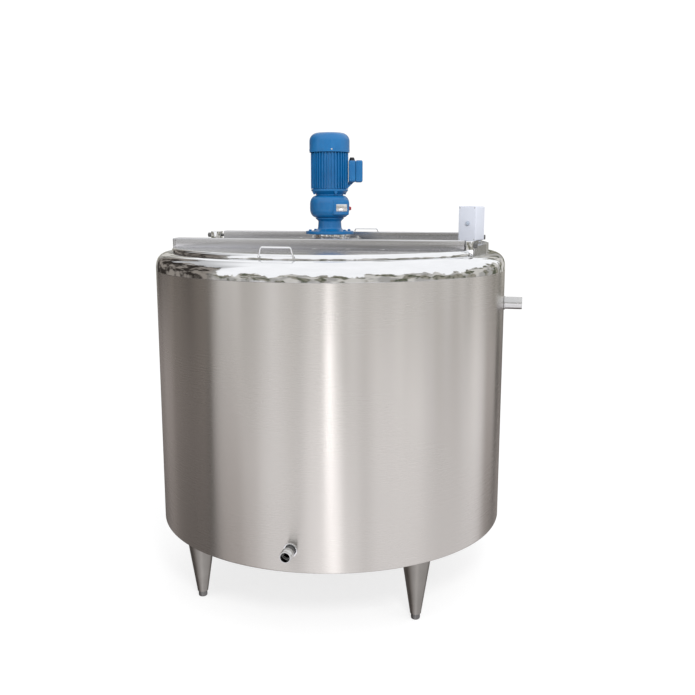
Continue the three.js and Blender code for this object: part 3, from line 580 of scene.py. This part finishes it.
def make_connections():
    place = shift(DRAIN_X, 0, DRAIN_Z) @ TOWARDS_FRONT
    collar = [(19, SHELL_R + 0.3), (25, SHELL_R + 0.3), (25, SHELL_R + 4), (19, SHELL_R + 4)]
    piece("drain_rosette", Shape().lathe(collar, 1.4, 64, place), POLISHED, stands_for=["drain_collar"])

    mouth = -DRAIN_LOW.y
    threads = 7
    root, crest, pitch = 20.7, 21.5, 2.6
    profile = [(18.4, mouth - 34), (20.5, mouth - 34), (20.5, mouth - 23)]
    for i in range(threads):
        z = mouth - 21.5 + i * pitch
        profile += [(root, z), (crest, z + pitch * 0.45), (crest, z + pitch * 0.6)]
    profile += [(root, mouth - 1.6), (20.2, mouth), (17, mouth), (17, mouth - 28), (18.4, mouth - 28)]
    union = Shape().lathe(profile, 0.3, 64, place, 2)
    piece("drain_thread_union", union, MACHINED_BRIGHT, stands_for=["drain_union"])

    pipe_end = -millimetres("drain_pipe")[0].y
    # A dark steel sleeve inside the drain's bore: painted shade for the shade in the hollow.
    sleeve = [(15, 640), (18, 640), (18, pipe_end), (15, pipe_end)]
    piece("drain_bore_painted_shade", Shape().lathe(sleeve, 0.3, 64, place), DARK)
    bead = Shape().weld(20.2, mouth - 34.4, 1.2, place, 72)
    piece("drain_weld", bead, MILL)

    for side, lay, z in (("outlet", TOWARDS_RIGHT, OUTLET_Z), ("inlet", TOWARDS_REAR, INLET_Z)):
        reach = millimetres("jacket_" + side)[1]
        end = reach.x if side == "outlet" else reach.y
        collar = [(24, SHELL_R + 0.3), (27, SHELL_R + 0.3), (27, SHELL_R + 4), (24, SHELL_R + 4)]
        tube = [(20.8, 642), (24, 642), *collar, (24, end - 1.2), (22.8, end), (20.8, end)]
        nozzle = Shape().lathe(tube, 1.0, 72, shift(0, 0, z) @ lay)
        piece("jacket_" + side + "_stub", nozzle, MILL, stands_for=["jacket_" + side])
        bead = Shape().weld(24.4, SHELL_R + 4.2, 1.2, shift(0, 0, z) @ lay, 72)
        piece("jacket_" + side + "_weld", bead, MILL)


def make_legs():
    for side in ("front_left", "front_right", "rear_left", "rear_right"):
        low, high = millimetres(side + "_leg")
        x, y = (low.x + high.x) / 2, (low.y + high.y) / 2
        foot_low, foot_high = millimetres(side + "_foot")
        foot_r = (foot_high.x - foot_low.x) / 2
        top, bottom = high.z, low.z
        top_r = (high.x - low.x) / 2
        bottom_r = foot_r + (top_r - foot_r) * bottom / top
        boss_top = 60.0
        boss_r = foot_r + (top_r - foot_r) * boss_top / top - 3
        cone = [(8.3, bottom), (bottom_r, bottom), (top_r, top), (top_r - 3, top), (boss_r, boss_top)]
        cone.append((8.3, boss_top))
        piece(side + "_leg_cone", Shape().lathe(cone, 0.8, 96, shift(x, y)), LEG, stands_for=[side + "_leg"])
        bead = Shape().weld(top_r - 0.4, top - 1.3, 1.6, shift(x, y), 132)
        piece(side + "_leg_weld", bead, MILL)
        tread = bottom - 0.3
        sole = [((0, 0), 0), ((foot_r - 2.5, 0), 1), ((foot_r - 0.5, 2.5), 1), ((foot_r, 7), 0.5)]
        crown = [((foot_r, tread - 1), 0.6), ((foot_r - 1.2, tread), 0.4)]
        spindle = [((8, tread), 0.3), ((8, foot_high.z), 1), ((0, foot_high.z), 0)]
        foot = Shape().lathe([*sole, *crown, *spindle], 0.5, 64, shift(x, y))
        piece(side + "_foot_end", foot, DARK, side + "_foot", [side + "_foot"])


# ---------------------------------------------------------------- lids
def make_lid(side, place):
    """A half lid: flat sheet, rolled rim, hinge tube with plugs and stitch welds, and on the rear lid a web;
    its bent rod handle comes from make_handle.
    """
    body = side + "_lid"
    low, high = millimetres(body)
    rail_top = high.z
    raised = side == "rear"
    rail_low = rail_top - RAIL
    near, far = HINGE_Y - RAIL / 2, HINGE_Y + RAIL / 2
    half = math.degrees(math.acos(far / LID_R))
    lap = LID_R - ROLL_ACROSS - 3
    rolled = curve(LID_R - ROLL_ACROSS, LID_TOP - ROLL_HIGH, ROLL_ACROSS, ROLL_HIGH, 0, 90, 14)
    skirt = [(LID_R - 11, low.z), (LID_R - 6, low.z), (LID_R - 6, LID_TOP - ROLL_HIGH + 0.5)]
    rim = [(LID_R - 0.6, LID_TOP - ROLL_HIGH), *rolled, (lap, LID_TOP), (lap, LID_TOP - 2)]
    rim.append((LID_R - 11, LID_TOP - 6))
    rolled_edge = Shape().arc([*skirt, *rim], 270 - half, 270 + half, 0, 220, 8)
    rolled_edge.bm.transform(place)
    piece(side + "_lid_rolled_edge", rolled_edge, POLISHED, body)
    edge = lap - 0.05
    outline = []
    span = math.degrees(math.acos(far / edge))
    for k in range(161):
        a = math.radians(270 - span + 2 * span * k / 160)
        outline.append((edge * math.cos(a), edge * math.sin(a)))
    sheet = Shape().drawn(outline, LID_TOP - 2, LID_TOP, 0, place)
    piece(side + "_lid_sheet", sheet, LID, body, [body])

    left, right = RAIL_ENDS[side]
    tube = Shape()
    wall = 2.0
    loops = []
    for inset, corner in ((0.0, 3.2), (wall, 1.4)):
        y0, y1, z0, z1 = inset - far, -near - inset, rail_low + inset, rail_top - inset
        loops.append(fillet([(y0, z0), (y1, z0), (y1, z1), (y0, z1)], corner, True, 4))
    outer = loops[0]
    part = bmesh.new()
    ends = []
    for x in (left, right):
        ends.append([[part.verts.new((x, y, z)) for y, z in loop] for loop in loops])
    count = len(outer)
    for i in range(count):
        j = (i + 1) % count
        part.faces.new([ends[0][0][i], ends[0][0][j], ends[1][0][j], ends[1][0][i]])
        part.faces.new([ends[0][1][i], ends[0][1][j], ends[1][1][j], ends[1][1][i]])
        for out, into in ends:
            part.faces.new([out[i], out[j], into[j], into[i]])
    tube.take(part, place)
    axis_z = (rail_low + rail_top) / 2
    plug_r = 6.1
    for x0, x1 in ((left + 0.6, left + 14), (right - 14, right - 0.6)):
        bush = [(plug_r, x0), (RAIL / 2 - wall - 0.4, x0), (RAIL / 2 - wall - 0.4, x1), (plug_r, x1)]
        tube.lathe(bush, 0.6, 48, place @ shift(0, -HINGE_Y, axis_z) @ TOWARDS_RIGHT)
    if raised:
        web = Shape().block((left, -far, LID_TOP - 1), (right, -far + 3, rail_low + 4), 0.4, 2, place)
        piece(side + "_rail_web", web, LID, body)
    piece(side + "_hinge_tube", tube, LID, body)
    seam = Shape()
    for k in range(9):
        x = left + 40 + k * (right - left - 80) / 8
        seam.block((x - 9, -far - 1.2, LID_TOP - 0.6), (x + 9, -far + 0.6, LID_TOP + 1.0), 0.8, 3, place)
    piece(side + "_rail_stitch_welds", seam, MILL, body)


def make_handle(side, place):
    body = side + "_lid"
    thick = 3.0
    reach = LID_R + thick + 0.3
    half = 62.0
    low_y = -math.sqrt(reach**2 - half**2)
    aside, top = HANDLES[side]
    tilt = Matrix.Rotation(-aside / LID_R, 4, "Z")
    arm = [
        (half, low_y, LID_TOP - 10),
        (half - 2, low_y, LID_TOP),
        (half - 6, -reach, top - 10),
        (half - 9.5, -reach, top),
    ]
    route = [*arm, *[(-x, y, z) for x, y, z in reversed(arm)]]
    rod = Shape().rod(route, thick, 7.0, 20, place @ tilt, 8)
    piece(side + "_grip", rod, POLISHED, body, [side + "_lid_handle"])
    pads = Shape()
    for x in (-half, half):
        low, high = (x - 4, low_y + 1.4, LID_TOP - 12), (x + 4, low_y + 4.2, LID_TOP - 5)
        pads.block(low, high, 1.0, 3, place @ tilt)
    piece(side + "_grip_welds", pads, MILL, body)


def make_hinges():
    for side in ("front", "rear"):
        for end in ("left", "right"):
            block = f"{side}_{end}_pivot_block"
            pin = f"{side}_{end}_hinge_pin"
            low, high = millimetres(block)
            axis_z = high.z - 17
            y = (low.y + high.y) / 2
            lay = shift(0, y, axis_z) @ TOWARDS_RIGHT
            hole = [(0, low.x - 5), (6.3, low.x - 5), (6.3, high.x + 5), (0, high.x + 5)]
            solid = Shape().block(low, high, 2.4, 4)
            bored = Shape().lathe(hole, 0, 48, lay)
            metal = LID if block == "front_left_pivot_block" else POLISHED
            piece(block + "_machined", solid, metal, stands_for=[block], cutters=[bored])

            p_low, p_high = millimetres(pin)
            outward = -1 if end == "left" else 1
            tip, root = (p_low.x, p_high.x) if outward < 0 else (p_high.x, p_low.x)
            outer = low.x if outward < 0 else high.x
            headed = abs(tip - outer) > 2
            face = outer + outward * 0.3 if headed else tip
            shape = Shape()
            a, b = min(root, face), max(root, face)
            shape.lathe([(0, a), (6, a), (6, b), (0, b)], 0.4, 40, lay)
            if headed:
                a, b = min(face, tip), max(face, tip)
                shape.lathe([(0, a), (10, a), (10, b), (0, b)], 2.2, 48, lay)
            piece(pin + "_turned", shape, DARK, stands_for=[pin])


# ---------------------------------------------------------------- drive
def make_bridge_fittings():
    low, high = PLATE_LOW, PLATE_HIGH
    plate = Shape().block(low, high, 2.0, 3)
    hole = Shape().lathe([(0, low.z - 5), (52, low.z - 5), (52, high.z + 5), (0, high.z + 5)], 0, 72, AXIS)
    piece("drive_plate", plate, MILL, stands_for=["motor_plate"], cutters=[hole])
    bolts = Shape()
    for x in (-1, 1):
        for y in (-1, 1):
            bolts.bolt(AXIS @ shift(x * 94, y * 94, high.z), 13, 7)
    piece("drive_plate_bolts", bolts, FASTENER)
    ring_low, ring_high = millimetres("spacer_ring")
    outer = (ring_high.x - ring_low.x) / 2
    ring = [(52, ring_low.z), (outer, ring_low.z), (outer, ring_high.z), (52, ring_high.z)]
    spacer = Shape().lathe(ring, 1.5, 96, shift((ring_low.x + ring_high.x) / 2))
    piece("drive_spacer", spacer, POLISHED, stands_for=["spacer_ring"])


def make_gearbox():
    low, high = FLANGE_LOW.z, FLANGE_HIGH.z
    r = (FLANGE_HIGH.x - FLANGE_LOW.x) / 2
    foot = [((30, low), 0.5), ((r, low), 1.2), ((r, low + 11), 2.4), ((62, low + 12.5), 5)]
    neck = [((48, low + 20), 14), ((46, high - 14), 8), ((57, high - 4), 3), ((57, high), 0.8)]
    casting = Shape().lathe([*foot, *neck, ((30, high), 0.5)], 0, 128, AXIS, 8)
    piece("gearbox_foot_casting", casting, BLUE, stands_for=["gearbox_output_housing"])
    bolts = Shape()
    for k in range(6):
        bolts.bolt(AXIS @ turn(30 + 60 * k) @ shift(82, 0, low + 11), 10, 6)
    piece("gearbox_flange_bolts", bolts, BLUE)

    low, high = GEARBOX_LOW.z, GEARBOX_HIGH.z
    swell = GEARBOX_R - WAIST_R
    lower, upper = low + 33, high - 34
    below = [(30, low), *curve(WAIST_R, lower, swell, lower - low, -80, 0)]
    above = [*curve(WAIST_R, upper, swell, high - upper, 0, 88), (46, high), (46, high - 8)]
    room = [(61, upper + 3), (61, low + 8), (30, low + 8)]
    casting = Shape().lathe([*below, *above, *room], 0, 128, AXIS)
    piece("gearbox_casting", casting, BLUE, stands_for=["gearbox_housing"])
    core = Shape().lathe([(0, low - 2), (60.5, low - 2), (60.5, high + 2), (0, high + 2)], 0, 72, AXIS)
    boss = Shape().block((12, -80, low + 10), (76, 34, high - 18), 6.0, 6, DRIVE_SIDE)
    piece("gearbox_boss", boss, BLUE, cutters=[core])

    plug_z = low + 36
    plug = Shape()
    lay = DRIVE_SIDE @ shift(GEARBOX_R + 0.3, -2, plug_z) @ TOWARDS_RIGHT
    plug.lathe([(0, 0), (8, 0), (8, 2.2), (0, 2.2)], 0.5, 40, lay)
    plug.lathe([(0, 2), (6.6, 2), (6.6, 6.6), (5.4, 7.4), (0, 7.4)], 0.3, 6, lay, 2)
    piece("oil_plug_hexagon", plug, RED, stands_for=["oil_plug"])

    left, right, bottom, top = 26, 69, low + 25, low + 53
    plate = Shape().block((left, -81.8, bottom), (right, -80.3, top), 0.5, 2, DRIVE_SIDE)
    piece("blank_rating_plate", plate, FASTENER, stands_for=["rating_plate"])
    rivets = Shape()
    rivet = [(0, 0), (1.5, 0), (1.1, 0.9), (0, 1.1)]
    for x in (left + 3, right - 3):
        for z in (bottom + 3, top - 3):
            rivets.lathe(rivet, 0.2, 20, DRIVE_SIDE @ shift(x, -81.8, z) @ TOWARDS_FRONT)
    piece("rating_plate_rivets", rivets, FASTENER)


def make_motor():
    low, high = SHIELD_LOW.z, SHIELD_HIGH.z
    rim = (SHIELD_HIGH.x - SHIELD_LOW.x) / 2
    neck = [((15, low), 0.5), ((WAIST_R, low), 0.8), ((WAIST_R, low + 4), 3), ((WAIST_R + 8, low + 10), 4)]
    shield = [*neck, ((rim, high - 7), 3), ((rim, high), 0.8), ((15, high), 0.5)]
    casting = Shape().lathe(shield, 0, 128, AXIS, 8)
    lug = [(0, 9), (7, 9), (7, 24.4), (0, 24.4)]
    for k in range(4):
        casting.lathe(lug, 2.0, 32, AXIS @ turn(35 + 90 * k) @ shift(66, 0, low))
    piece("motor_shield_casting", casting, BLUE, stands_for=["motor_end_shield"])
    bolts = Shape()
    for k in range(4):
        upside_down = Matrix.Rotation(math.pi, 4, "X")
        bolts.bolt(AXIS @ turn(35 + 90 * k) @ shift(66, 0, low + 9) @ upside_down, 8, 5, False)
    piece("motor_shield_bolts", bolts, BLUE)

    low, high = FRAME_LOW.z, FRAME_HIGH.z
    r = (FRAME_HIGH.x - FRAME_LOW.x) / 2
    body = Shape().lathe([(58, low), (67, low), (67, high), (58, high)], 0.6, 128, AXIS)
    fins = 36
    for k in range(fins):
        angle = 360 * (k + 0.22) / fins
        body.block((64, -1.7, low + 1.5), (r - 0.2, 1.7, high - 1), 1.1, 3, AXIS @ turn(angle))
    piece("motor_finned_body", body, BLUE, stands_for=["motor_frame"])

    low, high = COWL_LOW.z, COWL_HIGH.z
    r = (COWL_HIGH.x - COWL_LOW.x) / 2
    corner = 32
    centre = (r - corner, high - 3 - corner)
    inside = [(0, high - 2), *curve(*centre, corner - 2, corner - 2, 84, 0, 14), (r - 2, low)]
    outside = [(r, low), *curve(*centre, corner, corner, 0, 84, 14), (0, high)]
    cutters = []
    for i in range(7):
        offset = (i - 3) * 14
        reach = math.sqrt(50**2 - offset**2)
        slot = Shape().block((offset - 3, -reach, high - 30), (offset + 3, reach, high + 5), 2.8, 4, AXIS)
        cutters.append(slot)
    cowl = Shape().lathe([*inside, *outside], 0, 128, AXIS)
    piece("motor_cowl", cowl, BLUE, stands_for=["fan_cowl"], cutters=cutters)
    screws = Shape()
    for k in range(4):
        screws.screw(AXIS @ turn(20 + 90 * k) @ shift(r - 0.2, 0, low + 9) @ TOWARDS_RIGHT, 3.2, 1.6)
    piece("motor_cowl_screws", screws, FASTENER)


def rounded_slab(low, high, corner, bevel):
    """A slab on the drive's side that faces outwards, with round corners and bevelled rims."""
    (x0, y0, z0), (x1, y1, z1) = low, high
    corners = [(-z1, y0), (-z0, y0), (-z0, y1), (-z1, y1)]
    return Shape().drawn(fillet(corners, corner, True, 6), x0, x1, bevel, DRIVE_SIDE @ TOWARDS_RIGHT)


def make_terminal_box():
    half, bottom, top = CASE_HALF, CASE_BOTTOM, CASE_TOP
    x = (CASE_BACK + CASE_FRONT) / 2
    case = rounded_slab((CASE_BACK, -half, bottom), (CASE_FRONT, half, top), 9, 1.0)
    room = rounded_slab((CASE_BACK + 3, 3 - half, bottom + 3), (CASE_FRONT + 9, half - 3, top - 3), 6, 0)
    wire = [(0, CASE_BACK - 2), (12, CASE_BACK - 2), (12, CASE_BACK + 10), (0, CASE_BACK + 10)]
    wireway = Shape().lathe(wire, 0, 40, DRIVE_SIDE @ shift(0, 0, (bottom + top) / 2) @ TOWARDS_RIGHT)
    thread = [(0, top - 9), (8.3, top - 9), (8.3, top + 5), (0, top + 5)]
    gland_hole = Shape().lathe(thread, 0, 40, DRIVE_SIDE @ shift(x))
    piece("terminal_case", case, BLUE, stands_for=["terminal_box"], cutters=[room, wireway, gland_hole])
    lip = half + 1
    cover = rounded_slab((CASE_FRONT + 0.3, -lip, bottom - 1), (CAP_FRONT, lip, top + 1), 9, 6.0)
    hollow = rounded_slab((CASE_FRONT - 1, 3 - half, bottom + 3), (CAP_FRONT - 3, half - 3, top - 3), 6, 0)
    piece("terminal_case_cover", cover, BLUE, stands_for=["terminal_box_cover"], cutters=[hollow])
    screws = Shape()
    for y in (10 - half, half - 10):
        for z in (bottom + 10, top - 10):
            screws.screw(DRIVE_SIDE @ shift(CAP_FRONT - 1.6, y, z) @ TOWARDS_RIGHT, 3.0, 1.4)
    piece("terminal_cover_screws", screws, FASTENER)
    rib = [(CASE_BACK - 4, bottom + 0.5), (CASE_FRONT - 4, bottom + 0.5), (CASE_BACK - 4, bottom - 24)]
    piece("terminal_case_rib", Shape().drawn(rib, -4, 4, 1.0, DRIVE_SIDE @ TOWARDS_FRONT), BLUE)

    gland_low, gland_high = millimetres("cable_gland")
    seat = top + 0.3
    lay = DRIVE_SIDE @ shift(x)
    gland = Shape()
    gland.lathe([(5, gland_low.z), (8, gland_low.z), (8, seat + 1), (5, seat + 1)], 0.4, 40, lay)
    gland.lathe([(5, seat), (12, seat), (12, seat + 4.5), (5, seat + 4.5)], 0.6, 6, lay, 2)
    dome = [(5, seat + 4.5), (10, seat + 4.5), (10, seat + 8), (7.6, gland_high.z), (5, gland_high.z)]
    gland.lathe(dome, 0.8, 12, lay)
    piece("cable_gland_nut", gland, BLACK, stands_for=["cable_gland"])


# ---------------------------------------------------------------- agitator and inside parts
def make_agitator():
    low, high = millimetres("agitator_shaft")
    shaft = [(0, low.z), (16, low.z), (16, high.z), (0, high.z)]
    piece("agitator_bar", Shape().lathe(shaft, 2.0, 64, AXIS), POLISHED, "agitator", ["agitator_shaft"])
    low, high = millimetres("shaft_coupling")
    sleeve = [(16.3, low.z), (26, low.z), (26, high.z), (16.3, high.z)]
    piece("coupling_sleeve", Shape().lathe(sleeve, 1.5, 64, AXIS), MILL, "agitator", ["shaft_coupling"])
    grubs = Shape()
    for z in (low.z + 20, high.z - 20):
        for angle in (0, 120):
            grubs.screw(AXIS @ turn(angle) @ shift(25.6, 0, z) @ TOWARDS_RIGHT, 4.0, 1.6)
    piece("coupling_grub_screws", grubs, DARK, "agitator")
    for name, angle in (("lower_paddle", 0), ("upper_paddle", 90)):
        low, high = millimetres(name)
        z = (low.z + high.z) / 2
        reach = max(high.x - DRIVE_X, high.y)
        hub = Shape().lathe([(16.3, z - 35), (27, z - 35), (27, z + 35), (16.3, z + 35)], 1.5, 64, AXIS)
        tilt = Matrix.Rotation(math.radians(45), 4, "X")
        for half in (0, 180):
            place = AXIS @ turn(angle + half) @ shift(0, 0, z) @ tilt
            hub.block((20, -2.5, -40), (reach, 2.5, 40), 1.6, 3, place)
            hub.rod([(26, 3.4, -33), (26.4, 3.6, 33)], 2.2, 0, 10, place)
        piece(name + "_fabricated", hub, POLISHED, "agitator", [name])


def make_probe():
    low, high = millimetres("temperature_probe")
    x, y = (low.x + high.x) / 2, (low.y + high.y) / 2
    stem = [((0, low.z), 0), ((3, low.z), 2), ((5, low.z + 5), 2), ((5, high.z - 5), 0.5)]
    head = [((9, high.z - 5), 0.6), ((9, high.z), 0.6), ((0, high.z), 0)]
    sheath = Shape().lathe([*stem, *head], 0, 32, shift(x, y))
    piece("probe_sheath", sheath, POLISHED, stands_for=["temperature_probe"])


# ---------------------------------------------------------------- control box
BOX_PLACE = shift(566, 8) @ turn(-19.5)
BOX_HALF = (35.0, 45.0)
BOX_LOW_Z, BOX_HIGH_Z = 1392.0, 1523.0
KNOB_X, KNOB_Z = 3.0, 1459.0


def box_block(inset, front, back, bevel, segments):
    """A block in the control box's place, drawn in by inset at its sides, foot and top."""
    half = BOX_HALF[0] - inset
    low, high = (-half, front, BOX_LOW_Z + inset), (half, back, BOX_HIGH_Z - inset)
    return Shape().block(low, high, bevel, segments, BOX_PLACE)


def make_control_box():
    hx, hy = BOX_HALF
    body = box_block(0, -hy + 8, hy, 5.0, 5)
    room = box_block(SHEET, -hy - 4, hy - SHEET, 3.0, 3)
    cable = Shape().lathe([(0, 1380), (6, 1380), (6, 1402), (0, 1402)], 0, 32, BOX_PLACE @ shift(0, 12))
    piece("control_case", body, WHITE, stands_for=["control_box_body"], cutters=[room, cable])
    cover = box_block(-1.5, -hy, -hy + 7.7, 2.8, 5)
    hollow = box_block(SHEET, -hy + SHEET, -hy + 14, 1.5, 2)
    lay = BOX_PLACE @ shift(KNOB_X, 0, KNOB_Z) @ TOWARDS_FRONT
    spindle = Shape().lathe([(0, 30), (3.4, 30), (3.4, 60), (0, 60)], 0, 32, lay)
    piece("control_cover", cover, WHITE, stands_for=["control_box_cover"], cutters=[hollow, spindle])
    screws = Shape()
    for x in (-hx + 4, hx - 4):
        for z in (BOX_LOW_Z + 5, BOX_HIGH_Z - 5):
            screws.screw(BOX_PLACE @ shift(x, -hy + 0.3, z) @ TOWARDS_FRONT, 2.6, 1.2)
    piece("control_cover_screws", screws, FASTENER)
    front = hy + 0.3
    knob = Shape()
    dial = [(0, 36), (3.2, 36), (3.2, front), (7.5, front), (6.8, front + 7), (0, front + 7)]
    knob.lathe(dial, 0.6, 48, lay)
    knob.block((-1.6, -6.6, front + 4), (1.6, 6.6, front + 10), 1.0, 3, lay)
    piece("selector_grip", knob, GREY, "selector", ["selector_knob"])
    ring = [(7.9, front - 0.1), (10.4, front - 0.1), (10.4, front + 1.2), (7.9, front + 1.2)]
    piece("selector_bezel", Shape().lathe(ring, 0.4, 48, lay), WHITE)


make_shell()
make_shoulder()
make_liner()
make_connections()
make_legs()
make_lid("front", Matrix.Identity(4))
make_lid("rear", HALF_TURN)
make_handle("front", Matrix.Identity(4))
make_handle("rear", HALF_TURN)
make_hinges()
make_bridge_fittings()
make_gearbox()
make_motor()
make_terminal_box()
make_agitator()
make_probe()
make_control_box()

SLOT_OF = {row["node"]: row["material_slot"] for row in frame["record"]["subparts"]}
for name, node in frame["nodes"].items():
    node.data.materials.clear()
    node.data.materials.append(FINISHES[SLOT_OF[name]].material)


# ---------------------------------------------------------------- studio
CAMERA_AT = Vector((0.8094, -3.3028, 1.5373))
CAMERA_TURN = (math.radians(80.083), 0.0, math.radians(12.648))
CAMERA_LENS = 42.905
CAMERA_AZIMUTH = math.atan2(CAMERA_AT.x, -CAMERA_AT.y)

# Light and dark upright cards round the studio, by name: direction from the camera's side in degrees,
# positive to the right, then half width, softness, and the brightness added at the horizon and near
# the floor.
CARDS = (
    ("left_flag", -124, 41, 3, -0.82, -0.74),
    ("left_stripe", -134, 7, 3, 0.14, 0.10),
    ("left_near_shade", -73, 9, 6, -0.27, -0.44),
    ("left_far_shade", -56, 5, 5, 0.0, -0.20),
    ("left_panel", -38, 7, 6, 0.16, 0.06),
    ("front_glow", -9, 6, 6, 0.28, 0.32),
    ("front_strip", -1.6, 1.6, 1.8, 4.2, 0.0),
    ("low_front_strip", 3, 2, 2.5, 0.0, 0.75),
    ("low_front_glow", 10, 6, 5, 0.0, 0.24),
    ("front_post", 14, 5, 5, -0.32, 0.0),
    ("right_panel", 44, 14, 7, 0.44, 0.10),
    ("right_shade", 81, 8, 8, -0.32, -0.02),
    ("right_glow", 105, 3, 6, 0.18, 0.0),
    ("right_edge", 131, 9, 6, -0.50, -0.60),
    ("right_flag", 158, 16, 8, -0.92, -0.60),
)


def make_world():
    """Bright sky, a thin uneven skyline and a pale ground, all by direction only."""
    world = bpy.data.worlds.new("studio")
    bpy.context.scene.world = world
    world.use_nodes = True
    graph = Graph(world.node_tree)
    nodes, links, math_node, mixed = graph.nodes, graph.links, graph.maths, graph.mix
    background = nodes["Background"]

    def window(value, start, end, low=0.0, high=1.0):
        return graph.ranged(value, start, end, low, high, "SMOOTHSTEP")

    def scaled(colour, value):
        node = nodes.new("ShaderNodeVectorMath")
        node.operation = "SCALE"
        graph.feed(node.inputs[0], colour)
        links.new(value, node.inputs["Scale"])
        return node.outputs[0]

    split = nodes.new("ShaderNodeSeparateXYZ")
    direction = nodes.new("ShaderNodeTexCoord").outputs["Generated"]
    links.new(direction, split.inputs[0])
    x, y, z = split.outputs
    ca, sa = math.cos(CAMERA_AZIMUTH), math.sin(CAMERA_AZIMUTH)
    right = math_node("ADD", math_node("MULTIPLY", x, ca), math_node("MULTIPLY", y, sa))
    ahead = math_node("SUBTRACT", math_node("MULTIPLY", x, sa), math_node("MULTIPLY", y, ca))
    azimuth = math_node("MULTIPLY", math_node("ARCTAN2", right, ahead), 180 / math.pi)
    height = math_node("MULTIPLY", math_node("ARCSINE", z), 180 / math.pi)

    ground = window(height, -24, -9, 0.88, 1.12)
    for _, centre, half, soft, gain_high, gain_low in CARDS:
        off = math_node("ABSOLUTE", math_node("SUBTRACT", azimuth, centre))
        card = window(off, half, half + soft, 1.0, 0.0)
        gain = window(height, -22, -9, gain_low, gain_high)
        ground = math_node("ADD", ground, math_node("MULTIPLY", card, gain))
    far_back = window(math_node("ABSOLUTE", azimuth), 150, 172, 0.0, -0.20)
    ground = math_node("MAXIMUM", math_node("ADD", ground, far_back), 0.05)

    around = nodes.new("ShaderNodeCombineXYZ")
    links.new(right, around.inputs[0])
    links.new(ahead, around.inputs[1])
    level = around.outputs[0]

    def noise(scale, detail=2.0, rough=0.5, source=direction):
        return graph.noise_at(source, scale, detail, rough)

    # The yard's edge: sheds and trees of uneven height, a dark building on the left, and low hedges behind.
    off_left = math_node("ABSOLUTE", math_node("ADD", azimuth, 118))
    left_mass = window(off_left, 32, 44, 1.0, 0.0)
    roofs = math_node("MULTIPLY", window(noise(2.6, source=level), 0.44, 0.58), 13.0)
    trees = math_node("MULTIPLY", window(noise(7.0, 5.0, 0.6, level), 0.42, 0.68), 15.0)
    skyline = math_node("ADD", math_node("ADD", roofs, trees), math_node("MULTIPLY", left_mass, 20.0))
    behind = window(math_node("ABSOLUTE", azimuth), 135, 160, 0.0, 12.0)
    skyline = math_node("ADD", skyline, behind)
    above = window(math_node("SUBTRACT", height, skyline), -1.2, 1.2)

    foliage = mixed(window(noise(17.0, 3.0), 0.42, 0.58), (0.10, 0.11, 0.075), (0.32, 0.30, 0.25))
    walls = mixed(window(noise(5.0), 0.44, 0.56), (0.66, 0.64, 0.60), (0.42, 0.41, 0.39))
    yard = mixed(window(noise(6.0, 3.0), 0.49, 0.54), walls, foliage)
    streaks = window(noise(5.0, 4.0, 0.6), 0.46, 0.60)
    yard = mixed(left_mass, yard, mixed(streaks, (0.035, 0.030, 0.026), (0.30, 0.27, 0.24)))
    tint = mixed(window(ground, 0.20, 1.0), (1.08, 0.97, 0.93), (1.0, 0.985, 1.01))
    low_colour = scaled(tint, ground)
    skyline_colour = mixed(window(height, -6.2, -5.2), low_colour, yard)
    shade = math_node("MULTIPLY", left_mass, window(height, 62, 38))
    sky = scaled((0.985, 0.99, 1.0), math_node("SUBTRACT", 1.08, math_node("MULTIPLY", shade, 0.5)))
    colour = mixed(above, skyline_colour, sky)
    links.new(colour, background.inputs["Color"])
    background.inputs["Strength"].default_value = 1.0


def emissive(name, colour, glow, diffuse):
    material = bpy.data.materials.new(name)
    material.use_nodes = True
    shader = material.node_tree.nodes["Principled BSDF"]
    shader.inputs["Base Color"].default_value = (*diffuse, 1.0)
    shader.inputs["Roughness"].default_value = 0.9
    shader.inputs["Specular IOR Level"].default_value = 0.0
    shader.inputs["Emission Color"].default_value = (*colour, 1.0)
    shader.inputs["Emission Strength"].default_value = glow
    return material


def make_stage():
    bpy.ops.mesh.primitive_plane_add(size=60.0, location=(0, 0, 0))
    floor = bpy.context.object
    floor.name = "studio_floor"
    floor.data.materials.append(emissive("pale_floor", (1, 1, 1), 0.72, (0.34, 0.34, 0.34)))
    floor.visible_glossy = False
    bpy.ops.mesh.primitive_uv_sphere_add(segments=64, ring_count=32, radius=29.0, location=(0, 0, 0))
    dome = bpy.context.object
    dome.name = "studio_backdrop"
    dome.data.materials.append(emissive("white_backdrop", (1, 1, 1), 1.05, (0, 0, 0)))
    dome.visible_diffuse = False
    dome.visible_glossy = False
    dome.visible_transmission = False
    dome.visible_volume_scatter = False
    dome.visible_shadow = False


def make_lights():
    for name, place, size, power in (
        ("key_softbox", (1.3, -3.3, 3.0), 0.8, 66.0),
        ("fill_softbox", (3.2, -1.8, 2.6), 1.4, 10.0),
    ):
        light = bpy.data.lights.new(name, "AREA")
        light.shape, light.size, light.energy = "SQUARE", size, power
        lamp = bpy.data.objects.new(name, light)
        lamp.location = place
        lamp.visible_glossy = False
        lamp.rotation_euler = (Vector((0, 0, 1.2)) - Vector(place)).to_track_quat("-Z", "Y").to_euler()
        bpy.context.scene.collection.objects.link(lamp)


def make_camera():
    data = bpy.data.cameras.new("camera")
    data.sensor_width = 36.0
    data.lens = CAMERA_LENS
    camera = bpy.data.objects.new("camera", data)
    camera.location = CAMERA_AT
    camera.rotation_euler = CAMERA_TURN
    bpy.context.scene.collection.objects.link(camera)
    bpy.context.scene.camera = camera


make_world()
make_stage()
make_lights()
make_camera()
bpy.context.scene.view_settings.view_transform = "Standard"
